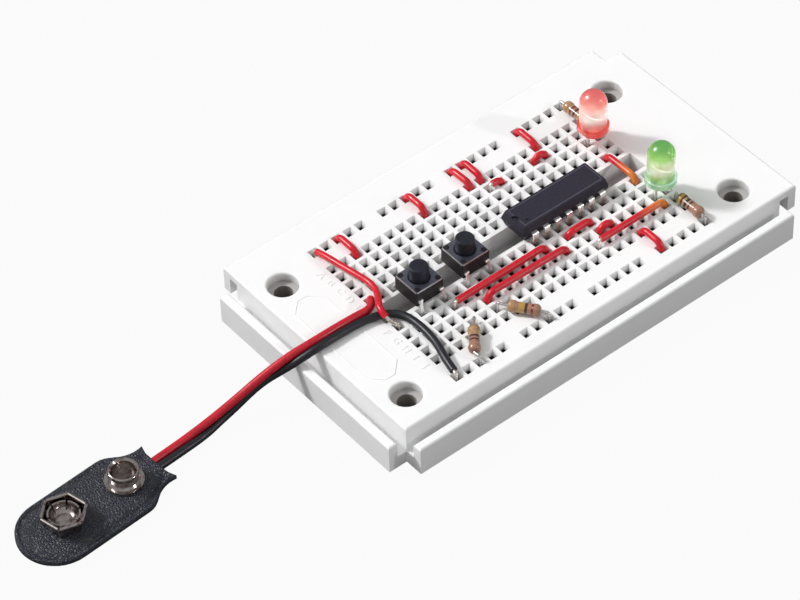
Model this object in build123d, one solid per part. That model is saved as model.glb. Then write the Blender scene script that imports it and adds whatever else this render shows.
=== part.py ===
from build123d import *
import math
import os

# A digital logic trainer: a solderless breadboard that carries a quad gate chip, two push
# switches, two indicator lamps, four resistors and fifteen wire links, with a battery snap at
# the end of two flexible leads.  Units are millimetres.  The origin is at the middle of the underside,
# +X runs along the long side towards the lamps, +Y towards the far bus row, +Z is up.

# ---------------------------------------------------------------- board sizes
pitch = 2.54
column_count = 23
body_length = 84.2
body_width = 45.7
body_height = 7.8
pad_thickness = 0.7
pad_inset = 0.7
channel_width = 4.2
channel_depth = 4.0
channel_end_margin = 1.4
top_edge_round = 0.45
bus_row_offset = 7.5 * pitch
first_row_offset = 1.5 * pitch
rows_per_side = 5
bus_group_size = 5
bus_group_period = 6

hole_mouth = 1.9
hole_throat = 0.86
funnel_depth = 1.1
top_skin = 2.6
slot_width = 1.76
slot_end_margin = 1.06

groove_width = 1.9
lip_thickness = 1.8
hook_thickness = 1.7
ledge_thickness = 2.6
lip_top_below_top = 2.0
hook_plate_thickness = 1.5
hook_clearance = 0.1

screw_spacing_x = 73.7
screw_spacing_y = 33.2
screw_hole_diameter = 3.4
counterbore_diameter = 5.6
counterbore_depth = 2.0
counterbore_mouth_round = 0.45

# ---------------------------------------------------------------- clip sizes
lead_gauge = 0.6
clip_bite = 0.005
clip_width = 1.56
clip_strip = 0.2
clip_floor = 0.3
clip_wall_height = 1.3
clip_finger_length = 2.0
clip_mouth = 1.0
clip_pinch_start = 0.55
clip_pinch_end = 0.68
clip_side_clearance = 0.1

# ---------------------------------------------------------------- wire sizes
sleeve_diameter = 1.25
strap_diameter = 1.2
insertion_depth = 5.2
sleeve_sink = 0.35
link_mouth_rise = 0.1
link_slope_run = 0.85
link_mouth_bend = 0.66
bare_bend = 0.45
sleeve_cut_back = 0.1

# ---------------------------------------------------------------- chip sizes
chip_pins_per_side = 7
chip_first_column = 12
chip_length = 19.3
chip_width = 6.4
chip_thickness = 3.2
chip_standoff = 0.4
chip_end_draft = 0.45
chip_side_draft = 0.5
chip_edge_round = 0.12
chip_corner_round = 0.3
notch_diameter = 1.6
notch_depth = 0.35
dot_diameter = 0.9
dot_depth = 0.15
lead_thickness = 0.25
lead_shoulder_width = 1.25
lead_bend = 0.2
lead_root = 0.7
lead_shoulder_drop = 1.5
paddle_length = 5.6
paddle_width = 3.2
die_size = 2.2
die_thickness = 0.35

# ---------------------------------------------------------------- switch sizes
switch_centre_columns = (3, 7)
switch_size = 6.0
switch_seat = 0.75
switch_base_height = 2.8
switch_plate = 0.3
switch_plate_inset = 0.1
switch_corner_round = 0.3
stake_diameter = 1.0
stake_offset = 2.25
stake_head = 0.06
stem_base_diameter = 3.66
stem_top_diameter = 3.4
stem_height = 2.65
stem_clearance = 0.16
stem_round = 0.25
flange_diameter = 4.3
flange_thickness = 0.5
well_clearance = 0.3
nub_diameter = 1.6
nub_height = 0.25
switch_travel = 0.25
travel_clearance = 0.06
dome_diameter = 3.6
dome_strip = 0.1
dome_rise = 0.45
terminal_pitch = 4.5
terminal_thickness = 0.3
terminal_width = 0.7
terminal_shoulder = 0.4
terminal_shoulder_width = 0.9
terminal_shoulder_height = 0.5
terminal_shoulder_round = 0.18
terminal_leg_width = 0.5
rim_pad_reach = 0.5
centre_tab_width = 0.8
centre_tab_sink = 0.12
centre_button_diameter = 1.0

# ---------------------------------------------------------------- lamp sizes
lamp_diameter = 5.0
lamp_height = 8.6
lamp_flange_diameter = 5.8
lamp_flange_thickness = 1.0
lamp_flat = 0.25
lamp_columns = (21, 22)
red_lamp_standoff = 2.9
green_lamp_standoff = 3.3
lamp_stop_width = 0.95
lamp_stop_height = 1.0
lamp_post_height = 3.0
lamp_anvil_width = 2.1
lamp_post_width = 0.9
lamp_cup_diameter = 0.48
lamp_cup_depth = 0.3

# ---------------------------------------------------------------- resistor sizes
resistor_length = 5.8
resistor_end_diameter = 2.2
resistor_waist_diameter = 1.92
resistor_end_length = 1.4
resistor_lead_root = 1.0
resistor_lead_straight = 0.2
resistor_rise = 0.15
resistor_bend = 0.36
resistor_jog_bend = 0.32
resistor_collar = 0.15
resistor_neck = 0.35

# ---------------------------------------------------------------- battery snap sizes
snap_middle = (-87.4, 2.75)
snap_turn = 3.3
contact_spacing = 12.7
snap_width = 14.1
snap_end_overhang = 1.65
snap_straight = 5.8
snap_ear_reach = 13.5
snap_ear_half_width = 4.5
snap_ear_neck_x = 9.4
snap_ear_neck_half_width = 5.5
snap_hollow = 0.8
snap_body_end = 12.2
snap_body_end_half_width = 3.4
snap_thickness = 2.2
snap_wall = 0.6
snap_weld = 1.1
snap_rim_thickness = 0.9
fibre_clearance = 0.1
fibre_end = 9.6
socket_corner_radius = 4.1
socket_base_radius = 3.55
socket_height = 2.5
socket_wall = 0.3
socket_bead = 0.32
socket_bowl_diameter = 5.6
socket_bowl_foot = 3.6
socket_floor = 0.5
socket_turn = 40.0
socket_bar_gap = 0.3
socket_slit = 0.35
socket_slit_rise = 0.3
stud_flange_diameter = 6.8
stud_flange_thickness = 0.55
stud_waist_diameter = 4.8
stud_lip_diameter = 5.4
stud_height = 3.1
stud_wall = 0.35
stud_lip_height = 1.1
stud_foot_round = 0.35
stud_lip_roll = 0.3
shank_diameter = 3.0
rivet_head_diameter = 4.4
rivet_head_thickness = 0.3

# ---------------------------------------------------------------- battery lead sizes
battery_lead_diameter = 1.45
battery_socket_depth = 1.0
lead_exit_y = 0.8
snap_lead_straight = 6.0
red_tip_bend = 1.3

# ---------------------------------------------------------------- derived places
board_top = pad_thickness + body_height
half_length = body_length / 2
half_width = body_width / 2
interlock_reach = groove_width + lip_thickness
row_span = (rows_per_side - 1) * pitch
last_column = column_count - 1
middle_column = last_column / 2
channel_length = last_column * pitch + 2 * channel_end_margin
slot_top = board_top - top_skin
tip_level = board_top - insertion_depth
ROW_LETTERS = "abcdefghij"


def column_x(column):
    """X of a column of tie points."""
    return (column - middle_column) * pitch


def row_y(row):
    """Y of a row: far bus, letters a to e beyond the channel, f to j before it, near bus."""
    if row == "far":
        return bus_row_offset
    if row == "near":
        return -bus_row_offset
    index = ROW_LETTERS.index(row)
    if index < rows_per_side:
        return first_row_offset + (rows_per_side - 1 - index) * pitch
    return -first_row_offset - (index - rows_per_side) * pitch


def tie_point(row, column, height=0.0):
    """A point at a tie point, with its height measured from the board's top."""
    return Vector(column_x(column), row_y(row), board_top + height)


bus_columns = [c for c in range(column_count) if c % bus_group_period < bus_group_size]


def write(shape, name):
    """Label a sub-part and write its STEP file."""
    shape.label = name
    export_step(shape, f"parts/{name}.step")


def group(solids):
    """Separate solids that share one node."""
    return Compound(children=list(solids))


def block(x0, x1, y0, y1, z0, z1):
    """A box given by its two opposite corners."""
    return Pos((x0 + x1) / 2, (y0 + y1) / 2, (z0 + z1) / 2) * Box(x1 - x0, y1 - y0, z1 - z0)


def rod(diameter, x, y, z0, z1):
    """An upright cylinder between two levels."""
    return Pos(x, y, (z0 + z1) / 2) * Cylinder(diameter / 2, z1 - z0)


def rounded_path(points, radii):
    """Straight runs joined by tangent arcs."""
    return FilletPolyline(*points, radius=radii)


def tube(path, outer, inner=0.0):
    """A round bar, or a sleeve with a bore, swept along a path."""
    start = Plane(origin=path @ 0, z_dir=path % 0)
    section = Circle(outer / 2)
    if inner > 0:
        section -= Circle(inner / 2)
    return sweep(start * section, path=path)


# ---------------------------------------------------------------- breadboard
def interlock_rails():
    """Upturned lips on the left and near sides, downturned hooks on the right and far sides."""
    ledge_top = pad_thickness + ledge_thickness
    lip_top = board_top - lip_top_below_top
    plate_bottom = board_top - hook_plate_thickness
    hook_bottom = ledge_top + hook_clearance
    x_out = half_length + interlock_reach
    y_out = half_width + interlock_reach
    left_ledge = block(-x_out, -half_length, -half_width, half_width, pad_thickness, ledge_top)
    left_lip = block(-x_out, -x_out + lip_thickness, -half_width, half_width,
                     pad_thickness, lip_top)
    near_ledge = block(-half_length, half_length, -y_out, -half_width, pad_thickness, ledge_top)
    near_lip = block(-half_length, half_length, -y_out, -y_out + lip_thickness,
                     pad_thickness, lip_top)
    right_plate = block(half_length, x_out, -half_width, half_width, plate_bottom, board_top)
    right_hook = block(x_out - hook_thickness, x_out, -half_width, half_width,
                       hook_bottom, board_top)
    far_plate = block(-half_length, half_length, half_width, y_out, plate_bottom, board_top)
    far_hook = block(-half_length, half_length, y_out - hook_thickness, y_out,
                     hook_bottom, board_top)
    return [left_ledge, left_lip, near_ledge, near_lip,
            right_plate, right_hook, far_plate, far_hook]


def hole_cutter(x, y):
    """One tie point: a square funnel, then a square throat down to the clip slot."""
    mouth = Pos(x, y, board_top) * Rectangle(hole_mouth, hole_mouth)
    throat = Pos(x, y, board_top - funnel_depth) * Rectangle(hole_throat, hole_throat)
    funnel = loft([throat, mouth])
    shaft = block(x - hole_throat / 2, x + hole_throat / 2, y - hole_throat / 2,
                  y + hole_throat / 2, slot_top, board_top - funnel_depth)
    return [funnel, shaft]


def tie_point_cutters():
    """Every tie point of the two fields and the two bus rows."""
    cutters = []
    for letter in ROW_LETTERS:
        for column in range(column_count):
            cutters += hole_cutter(column_x(column), row_y(letter))
    for row in ("far", "near"):
        for column in bus_columns:
            cutters += hole_cutter(column_x(column), row_y(row))
    return cutters


def slot_cutters():
    """Pockets in the underside that take the clips."""
    y_inner = first_row_offset - slot_end_margin
    y_outer = first_row_offset + row_span + slot_end_margin
    half_slot = slot_width / 2
    x_end = (column_count - 1) / 2 * pitch + slot_end_margin
    cutters = []
    for column in range(column_count):
        x = column_x(column)
        for side in (1, -1):
            y_pair = sorted((side * y_inner, side * y_outer))
            cutters.append(block(x - half_slot, x + half_slot, *y_pair, pad_thickness, slot_top))
    for side in (1, -1):
        y = side * bus_row_offset
        cutters.append(block(-x_end, x_end, y - half_slot, y + half_slot,
                             pad_thickness, slot_top))
    return cutters


def screw_points():
    """Centres of the four fixing holes."""
    half_x = screw_spacing_x / 2
    half_y = screw_spacing_y / 2
    return [(sx * half_x, sy * half_y) for sx in (-1, 1) for sy in (-1, 1)]


def screw_cutters():
    """A through hole with a wide, round-lipped counterbore at each fixing point."""
    bore = counterbore_diameter / 2
    lip = counterbore_mouth_round
    floor_level = board_top - counterbore_depth
    lip_start = board_top - lip
    side = Polyline((bore, lip_start), (bore, floor_level), (0, floor_level), (0, board_top),
                    (bore + lip, board_top))
    corner = lip * math.sqrt(0.5)
    lip_arc = ThreePointArc((bore + lip, board_top),
                            (bore + lip - corner, board_top - lip + corner), (bore, lip_start))
    counterbore = revolve(Plane.XZ * make_face(side + lip_arc), Axis.Z)
    cutters = []
    for x, y in screw_points():
        cutters.append(rod(screw_hole_diameter, x, y, pad_thickness, board_top))
        cutters.append(Pos(x, y, 0) * counterbore)
    return cutters


def make_breadboard_body():
    """The moulded body with its channel, tie points, slots, fixing holes and side rails."""
    shell = block(-half_length, half_length, -half_width, half_width, pad_thickness, board_top)
    for rail in interlock_rails():
        shell += rail
    lip_top = board_top - lip_top_below_top
    top_edges = shell.edges().filter_by_position(Axis.Z, board_top - 0.01, board_top + 0.01)
    lip_edges = shell.edges().filter_by_position(Axis.Z, lip_top - 0.01, lip_top + 0.01)
    shell = fillet(top_edges + lip_edges, top_edge_round)
    channel = block(-channel_length / 2, channel_length / 2, -channel_width / 2,
                    channel_width / 2, board_top - channel_depth, board_top)
    cutters = [channel] + tie_point_cutters() + slot_cutters() + screw_cutters()
    return shell.cut(*cutters)


def make_adhesive_pad():
    """The foam sheet that closes the underside, with holes for the fixing screws."""
    pad = block(-half_length + pad_inset, half_length - pad_inset,
                -half_width + pad_inset, half_width - pad_inset, 0, pad_thickness)
    holes = [rod(screw_hole_diameter, x, y, 0, pad_thickness) for x, y in screw_points()]
    return pad.cut(*holes)


# ---------------------------------------------------------------- spring clips
def clip_strip_along_y(centres, overhang):
    """One folded spring strip along Y with a pair of fingers at each centre."""
    floor_level = pad_thickness
    wall_top = floor_level + clip_wall_height
    top = slot_top - clip_side_clearance
    height = top - wall_top
    half = clip_width / 2
    pinch = lead_gauge / 2 - clip_bite
    mouth = clip_mouth / 2
    y0 = min(centres) - overhang
    y1 = max(centres) + overhang
    trough = block(-half, half, y0, y1, floor_level, wall_top)
    trough -= block(-half + clip_strip, half - clip_strip, y0, y1,
                    floor_level + clip_floor, wall_top)
    pinch_low = wall_top + clip_pinch_start * height
    pinch_high = wall_top + clip_pinch_end * height
    outline = [(half, wall_top), (pinch + clip_strip, pinch_low),
               (pinch + clip_strip, pinch_high), (mouth + clip_strip, top), (mouth, top),
               (pinch, pinch_high), (pinch, pinch_low), (half - clip_strip, wall_top)]
    strip = trough
    for side in (1, -1):
        face = make_face(Polyline(*[(side * x, z) for x, z in outline], close=True))
        for y in centres:
            plane = Plane(origin=(0, y, 0), x_dir=(1, 0, 0), z_dir=(0, -1, 0))
            strip += extrude(plane * face, clip_finger_length / 2, both=True)
    return strip


def make_row_clips(side):
    """One clip for each column on one side of the channel."""
    centres = [side * (first_row_offset + i * pitch) for i in range(rows_per_side)]
    overhang = slot_end_margin - clip_side_clearance
    clip = clip_strip_along_y(sorted(centres), overhang)
    return group(Pos(column_x(c), 0, 0) * clip for c in range(column_count))


def make_bus_clip(side):
    """One long clip along X under a bus row, turned from the strip along Y."""
    centres = [column_x(c) for c in bus_columns]
    overhang = slot_end_margin - clip_side_clearance
    strip = clip_strip_along_y(centres, overhang)
    return Pos(0, side * bus_row_offset, 0) * Rot(0, 0, -90) * strip


# ---------------------------------------------------------------- gate chip
chip_middle_x = (column_x(chip_first_column)
                 + column_x(chip_first_column + chip_pins_per_side - 1)) / 2
chip_bottom = board_top + chip_standoff
chip_top = chip_bottom + chip_thickness
chip_lead_level = chip_bottom + chip_thickness / 2


def drafted_outline(half_middle, draft):
    """Side view of a moulded block whose faces lean in above and below its parting line."""
    half_end = half_middle - draft
    low = chip_lead_level - lead_thickness / 2
    high = chip_lead_level + lead_thickness / 2
    return [(-half_end, chip_bottom), (half_end, chip_bottom), (half_middle, low),
            (half_middle, high), (half_end, chip_top), (-half_end, chip_top),
            (-half_middle, high), (-half_middle, low)]


def bent_lead(side):
    """A chip lead: a root in the case, a wide shoulder and a narrow tip in the tie point."""
    y_case = chip_width / 2 - lead_root
    y_leg = first_row_offset
    level = chip_lead_level
    bottom = tip_level
    path = FilletPolyline((y_case, level), (y_leg, level), (y_leg, bottom), radius=lead_bend)
    plane = Plane(origin=(0, 0, 0), x_dir=(0, 1, 0), z_dir=(1, 0, 0))
    start = Plane(origin=(0, y_case, level), x_dir=(1, 0, 0), z_dir=(0, 1, 0))
    strip = sweep(start * Rectangle(lead_shoulder_width, lead_thickness), path=plane * path)
    shoulder_end = level - lead_shoulder_drop
    for edge in (1, -1):
        x_pair = sorted((edge * lead_gauge / 2, edge * lead_shoulder_width))
        strip -= block(*x_pair, 0, y_leg + lead_shoulder_width, bottom, shoulder_end)
    if side < 0:
        strip = Rot(0, 0, 180) * strip
    return strip


def make_chip():
    """The moulded case, its fourteen leads, and the die on its paddle inside."""
    ends = make_face(Polyline(*drafted_outline(chip_length / 2, chip_end_draft), close=True))
    sides = make_face(Polyline(*drafted_outline(chip_width / 2, chip_side_draft), close=True))
    along_y = Plane(origin=(0, 0, 0), x_dir=(1, 0, 0), z_dir=(0, -1, 0))
    along_x = Plane(origin=(0, 0, 0), x_dir=(0, 1, 0), z_dir=(1, 0, 0))
    case = extrude(along_y * ends, chip_width, both=True)
    case &= extrude(along_x * sides, chip_length, both=True)
    corner_edges = [edge for edge in case.edges() if edge.bounding_box().size.Z > chip_edge_round
                    and edge.bounding_box().size.X < lead_root
                    and abs(edge.center().Y) > chip_width / 2 - lead_root
                    and abs(edge.center().X) > chip_length / 2 - lead_root]
    case = fillet(corner_edges, chip_corner_round)
    top_edges = case.edges().filter_by_position(Axis.Z, chip_top - 0.01, chip_top + 0.01)
    case = fillet(top_edges, chip_edge_round)
    notch_x = -chip_length / 2 + chip_end_draft
    case -= rod(notch_diameter, notch_x, 0, chip_top - notch_depth, chip_top)
    dot_x = column_x(chip_first_column) - chip_middle_x
    case -= rod(dot_diameter, dot_x, -chip_width / 4, chip_top - dot_depth, chip_top)
    leads = []
    for index in range(chip_pins_per_side):
        x = column_x(chip_first_column + index) - chip_middle_x
        leads += [Pos(x, 0, 0) * bent_lead(1), Pos(x, 0, 0) * bent_lead(-1)]
    paddle = Pos(0, 0, chip_lead_level) * Box(paddle_length, paddle_width, lead_thickness)
    die = Pos(0, 0, chip_lead_level + (lead_thickness + die_thickness) / 2)
    die = die * Box(die_size, die_size, die_thickness)
    case = case.cut(*leads, paddle, die)
    place = Pos(chip_middle_x, 0, 0)
    write(place * case, "chip_case")
    write(group(place * lead for lead in leads), "chip_leads")
    write(place * paddle, "chip_paddle")
    write(place * die, "chip_die")


# ---------------------------------------------------------------- push switches
switch_bottom = board_top + switch_seat
plate_bottom = switch_bottom + switch_base_height
plate_top = plate_bottom + switch_plate
flange_bottom = plate_bottom - flange_thickness
nub_bottom = flange_bottom - nub_height
dome_top = nub_bottom - switch_travel - travel_clearance
well_floor = dome_top - dome_rise
terminal_z = well_floor - terminal_thickness / 2


def terminal_leg(x_strip, x_hole, sy):
    """A leg that leans out from the end of a strip to its tie point and runs down it."""
    y_shoulder = switch_size / 2 + terminal_shoulder - terminal_thickness / 2
    y_hole = first_row_offset
    throat_level = board_top - funnel_depth
    slim = Rectangle(terminal_leg_width, terminal_thickness)
    wide = Rectangle(lead_gauge, terminal_thickness)
    top = Pos(x_strip, sy * y_shoulder, terminal_z) * slim
    mouth = Pos(x_hole, sy * y_hole, board_top) * slim
    throat = Pos(x_hole, sy * y_hole, throat_level) * wide
    tip = Pos(x_hole, sy * y_hole, tip_level) * wide
    return loft([mouth, top]) + loft([throat, mouth]) + loft([tip, throat])


def terminal_shoulder_at(x_strip, sy):
    """The rounded bend where a strip leaves the base and turns down into its leg."""
    y_pair = sorted((sy * switch_size / 2, sy * (switch_size / 2 + terminal_shoulder)))
    half = terminal_shoulder_width / 2
    shoulder = block(x_strip - half, x_strip + half, *y_pair,
                     well_floor - terminal_shoulder_height, well_floor)
    outer = shoulder.faces().sort_by(Axis.Y)[-1 if sy > 0 else 0]
    return fillet(outer.edges(), terminal_shoulder_round)


def switch_terminals():
    """Two contact strips across the base, each with a leg at both ends.

    One has a pad under the rim of the dome, the other a button under its middle.
    """
    y_end = switch_size / 2
    z_low = terminal_z - terminal_thickness / 2
    half_strip = terminal_width / 2
    strips = []
    for sx in (-1, 1):
        x_strip = sx * terminal_pitch / 2
        strip = block(x_strip - half_strip, x_strip + half_strip, -y_end, y_end,
                      z_low, well_floor)
        for sy in (-1, 1):
            strip += terminal_shoulder_at(x_strip, sy)
            strip += terminal_leg(x_strip, sx * pitch, sy)
        strips.append(strip)
    x_inner = terminal_pitch / 2 - half_strip
    half_tab = centre_tab_width / 2
    strips[0] += block(-x_inner, -x_inner + rim_pad_reach, -half_tab, half_tab,
                       z_low, well_floor)
    strips[1] += block(0, x_inner, -half_tab, half_tab, z_low, well_floor - centre_tab_sink)
    strips[1] += rod(centre_button_diameter, 0, 0, z_low, well_floor)
    return strips


def contact_dome():
    """A thin sprung disc, domed upwards over the contacts."""
    half = dome_diameter / 2
    radius = (half * half + dome_rise * dome_rise) / (2 * dome_rise)
    centre = well_floor + dome_rise - radius
    ball = Pos(0, 0, centre) * Sphere(radius) - Pos(0, 0, centre) * Sphere(radius - dome_strip)
    return ball & rod(dome_diameter, 0, 0, well_floor, dome_top)


def make_switch(name, column):
    """A push switch whose plunger slides down through the cover plate."""
    place = Pos(column_x(column), 0, 0)
    well_diameter = flange_diameter + 2 * well_clearance
    terminals = switch_terminals()
    base = Pos(0, 0, (switch_bottom + plate_bottom) / 2)
    base = base * Box(switch_size, switch_size, switch_base_height)
    base = fillet(base.edges().filter_by(Axis.Z), switch_corner_round)
    base -= rod(well_diameter, 0, 0, well_floor, plate_bottom)
    base = base.cut(*terminals)
    plate_size = switch_size - 2 * switch_plate_inset
    plate = Pos(0, 0, (plate_bottom + plate_top) / 2) * Box(plate_size, plate_size, switch_plate)
    plate = fillet(plate.edges().filter_by(Axis.Z), switch_corner_round)
    plate -= rod(stem_base_diameter + 2 * stem_clearance, 0, 0, plate_bottom, plate_top)
    for sx in (-1, 1):
        for sy in (-1, 1):
            x = sx * stake_offset
            y = sy * stake_offset
            plate -= rod(stake_diameter, x, y, plate_bottom, plate_top)
            base += rod(stake_diameter, x, y, plate_bottom, plate_top + stake_head)
    stem = Pos(0, 0, plate_bottom + (switch_plate + stem_height) / 2)
    stem = stem * Cone(stem_base_diameter / 2, stem_top_diameter / 2, switch_plate + stem_height)
    stem = fillet(stem.edges().sort_by(Axis.Z)[-1], stem_round)
    plunger = stem + rod(flange_diameter, 0, 0, flange_bottom, plate_bottom)
    plunger += rod(nub_diameter, 0, 0, nub_bottom, flange_bottom)
    write(place * base, f"{name}_base")
    write(place * plate, f"{name}_cover_plate")
    write(place * plunger, f"{name}_plunger")
    write(place * contact_dome(), f"{name}_contact_dome")
    write(group(place * strip for strip in terminals), f"{name}_terminals")


# ---------------------------------------------------------------- indicator lamps
lamp_x = (column_x(lamp_columns[0]) + column_x(lamp_columns[1])) / 2


def lamp_frame_lead(x, lens_bottom, widths, top):
    """One square lead with its stop below the lens and a wider blade inside it."""
    half = lead_gauge / 2
    x_low, x_high = widths
    lead = block(x - half, x + half, -half, half, tip_level, top)
    lead += block(x - lamp_stop_width / 2, x + lamp_stop_width / 2, -half, half,
                  lens_bottom - lamp_stop_height, lens_bottom)
    lead += block(x_low, x_high, -half, half, lens_bottom + lamp_flange_thickness, top)
    return lead


def make_lamp(name, row, standoff, cathode_sign):
    """A domed lamp on two leads, with the flat of its flange on the cathode side."""
    place = Pos(lamp_x, row_y(row), 0)
    bottom = board_top + standoff
    top = bottom + lamp_height
    radius = lamp_diameter / 2
    lens = rod(lamp_flange_diameter, 0, 0, bottom, bottom + lamp_flange_thickness)
    flat_x = lamp_flange_diameter / 2 - lamp_flat
    flat = block(flat_x, lamp_flange_diameter, -radius * 2, radius * 2, bottom,
                 bottom + lamp_flange_thickness)
    lens -= Rot(0, 0, 0 if cathode_sign > 0 else 180) * flat
    lens += rod(lamp_diameter, 0, 0, bottom, top - radius)
    lens += Pos(0, 0, top - radius) * Sphere(radius)
    post_top = bottom + lamp_flange_thickness + lamp_post_height
    x_cathode = cathode_sign * pitch / 2
    outer_blade = cathode_sign * (pitch / 2 + lead_gauge / 2)
    inner_blade = outer_blade - cathode_sign * lamp_anvil_width
    cathode = lamp_frame_lead(x_cathode, bottom, sorted((outer_blade, inner_blade)), post_top)
    cup_x = (outer_blade + inner_blade) / 2
    cup = Pos(cup_x, 0, post_top - lamp_cup_depth / 2)
    cathode -= cup * Cone(lamp_cup_diameter / 4, lamp_cup_diameter / 2, lamp_cup_depth)
    x_anode = -x_cathode
    post_edges = sorted((-outer_blade, -outer_blade + cathode_sign * lamp_post_width))
    anode = lamp_frame_lead(x_anode, bottom, post_edges, post_top)
    lens = lens.cut(cathode, anode)
    write(place * lens, f"{name}_lens")
    write(place * anode, f"{name}_anode_lead")
    write(place * cathode, f"{name}_cathode_lead")


# ---------------------------------------------------------------- resistors
def resistor_body():
    """The coated body along X, with its two swollen ends."""
    half = resistor_length / 2
    end = resistor_end_diameter / 2
    waist = resistor_waist_diameter / 2
    collar = lead_gauge / 2 + resistor_collar
    shoulder = half - resistor_end_length
    dome = Spline((half, collar), (half - 0.12 * resistor_end_length, 0.78 * end),
                  (half - 0.5 * resistor_end_length, end), (shoulder, 0.5 * (end + waist)),
                  (shoulder - resistor_neck, waist), tangents=[(0, 1), (-1, 0)])
    profile = Polyline((shoulder - resistor_neck, waist), (0, waist), (0, 0), (half, 0), (half, collar))
    half_face = make_face(dome + profile)
    side = revolve(Plane.XY * half_face, Axis.X)
    return side + Rot(0, 0, 180) * side


def make_resistor(name, start, end, shift=(0, 0), swing=0):
    """A resistor that lies between two tie points, its leads bent down into them.

    Its body is moved by shift and turned by swing degrees from the line between the points.
    """
    a = tie_point(*start)
    b = tie_point(*end)
    axis_level = board_top + resistor_end_diameter / 2 + resistor_rise
    turn = math.degrees(math.atan2(b.Y - a.Y, b.X - a.X)) + swing
    place = Pos((a.X + b.X) / 2 + shift[0], (a.Y + b.Y) / 2 + shift[1], axis_level) * Rot(0, 0, turn)
    root_x = resistor_length / 2 - resistor_lead_root
    elbow_x = resistor_length / 2 + resistor_lead_straight
    leads = []
    for hole, side in ((a, -1), (b, 1)):
        root = (place * Pos(side * root_x, 0, 0)).position
        elbow = (place * Pos(side * elbow_x, 0, 0)).position
        corner = Vector(hole.X, hole.Y, axis_level)
        tip = Vector(hole.X, hole.Y, tip_level)
        if swing or any(shift):
            path = rounded_path([root, elbow, corner, tip], [resistor_jog_bend, resistor_bend])
        else:
            path = rounded_path([root, corner, tip], resistor_bend)
        leads.append(tube(path, lead_gauge))
    write((place * resistor_body()).cut(*leads), f"{name}_body")
    write(group(leads), f"{name}_leads")


# ---------------------------------------------------------------- wire links
link_cores = []


def turn_radii(points, share=0.45):
    """For each corner of a route, the largest arc that its shorter run allows."""
    corners = [Vector(*p) if not isinstance(p, Vector) else p for p in points]
    radii = []
    for before, here, after in zip(corners, corners[1:], corners[2:]):
        run_in = here - before
        run_out = after - here
        half_turn = math.radians(run_in.get_angle(run_out)) / 2
        radii.append(share * min(run_in.length, run_out.length) / math.tan(half_turn))
    return radii


def make_link(name, start, end, crest, bare_start=False):
    """A wire link: a solid core bent down at both ends, in a coloured sleeve.

    Each end slopes down into the mouth of its tie point.  Crest gives the heights near the
    two ends.  A bare start turns down sharply and its sleeve stops above the tie point.
    """
    a = tie_point(*start)
    b = tie_point(*end)
    along = (b - a).normalized()
    drop = Vector(0, 0, -insertion_depth)
    mouth = Vector(0, 0, link_mouth_rise)
    sink = Vector(0, 0, -sleeve_sink)
    slope = along * min(link_slope_run, 0.3 * (b - a).length)
    high_a = a + slope + Vector(0, 0, crest[0])
    high_b = b - slope + Vector(0, 0, crest[1])
    if bare_start:
        high_a = a + Vector(0, 0, crest[0])
        route = [a + drop, high_a, high_b, b + mouth, b + drop]
    else:
        route = [a + drop, a + mouth, high_a, high_b, b + mouth, b + drop]
    radii = turn_radii(route)
    radii[-1] = link_mouth_bend
    radii[0] = bare_bend if bare_start else link_mouth_bend
    link_cores.append(tube(rounded_path(route, radii), lead_gauge))
    if bare_start:
        first = high_a + (high_b - high_a).normalized() * (bare_bend + sleeve_cut_back)
        sleeve = rounded_path([first, high_b, b + mouth, b + sink], radii[1:])
    else:
        sleeve = rounded_path([a + sink] + route[1:-1] + [b + sink], radii)
    write(tube(sleeve, sleeve_diameter, lead_gauge), name)


def make_supply_strap():
    """The long strap from the far bus, over five rows and the channel's end, to row f."""
    start = tie_point("far", 0)
    end = tie_point("f", 0)
    middle = [(-27.75, 16.2, 1.15), (-27.3, 12.2, 1.5), (-26.8, 8.8, 1.75), (-26.35, 6.0, 1.8),
              (-26.7, 3.7, 1.9), (-27.75, 1.85, 2.1), (-29.0, 0.15, 2.4), (-29.4, -1.3, 2.1),
              (-29.05, -2.6, 1.1)]
    route = [Vector(start.X, start.Y, tip_level), Vector(start.X, start.Y, board_top + 0.45)]
    route += [Vector(x, y, board_top + rise) for x, y, rise in middle]
    route += [Vector(end.X, end.Y, board_top + 0.2), Vector(end.X, end.Y, tip_level)]
    radii = turn_radii(route)
    radii[0] = bare_bend
    core_path = rounded_path(route, radii)
    first_run = (route[2] - route[1]).normalized()
    sleeve_start = route[1] + first_run * (bare_bend + sleeve_cut_back)
    sleeve_end = route[-4] + (route[-3] - route[-4]) * 0.5
    sleeve_path = rounded_path([sleeve_start] + route[2:-3] + [sleeve_end], radii[1:-2])
    link_cores.append(tube(core_path, lead_gauge))
    write(tube(sleeve_path, strap_diameter, lead_gauge), "strap_supply")


# ---------------------------------------------------------------- battery snap
snap_place = Pos(*snap_middle, 0) * Rot(0, 0, snap_turn)
snap_half_width = snap_width / 2
socket_x = -contact_spacing / 2
stud_x = contact_spacing / 2
snap_end_x = socket_x - snap_end_overhang


def snap_outline():
    """Plan of the welded rim: a round end, straight sides, and two ears with a hollow between."""
    hollow_x = snap_ear_reach - snap_hollow
    half = snap_half_width
    near_side = Spline((snap_straight, -half), (snap_ear_neck_x, -snap_ear_neck_half_width),
                       (snap_ear_reach, -snap_ear_half_width), tangents=[(1, 0), (1, 0)])
    far_side = Spline((snap_ear_reach, snap_ear_half_width),
                      (snap_ear_neck_x, snap_ear_neck_half_width), (snap_straight, half),
                      tangents=[(-1, 0), (-1, 0)])
    return [
        ThreePointArc((snap_end_x, half), (snap_end_x - half, 0), (snap_end_x, -half)),
        Line((snap_end_x, -half), (snap_straight, -half)),
        near_side,
        ThreePointArc((snap_ear_reach, -snap_ear_half_width), (hollow_x, 0),
                      (snap_ear_reach, snap_ear_half_width)),
        far_side,
        Line((snap_straight, half), (snap_end_x, half)),
    ]


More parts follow.
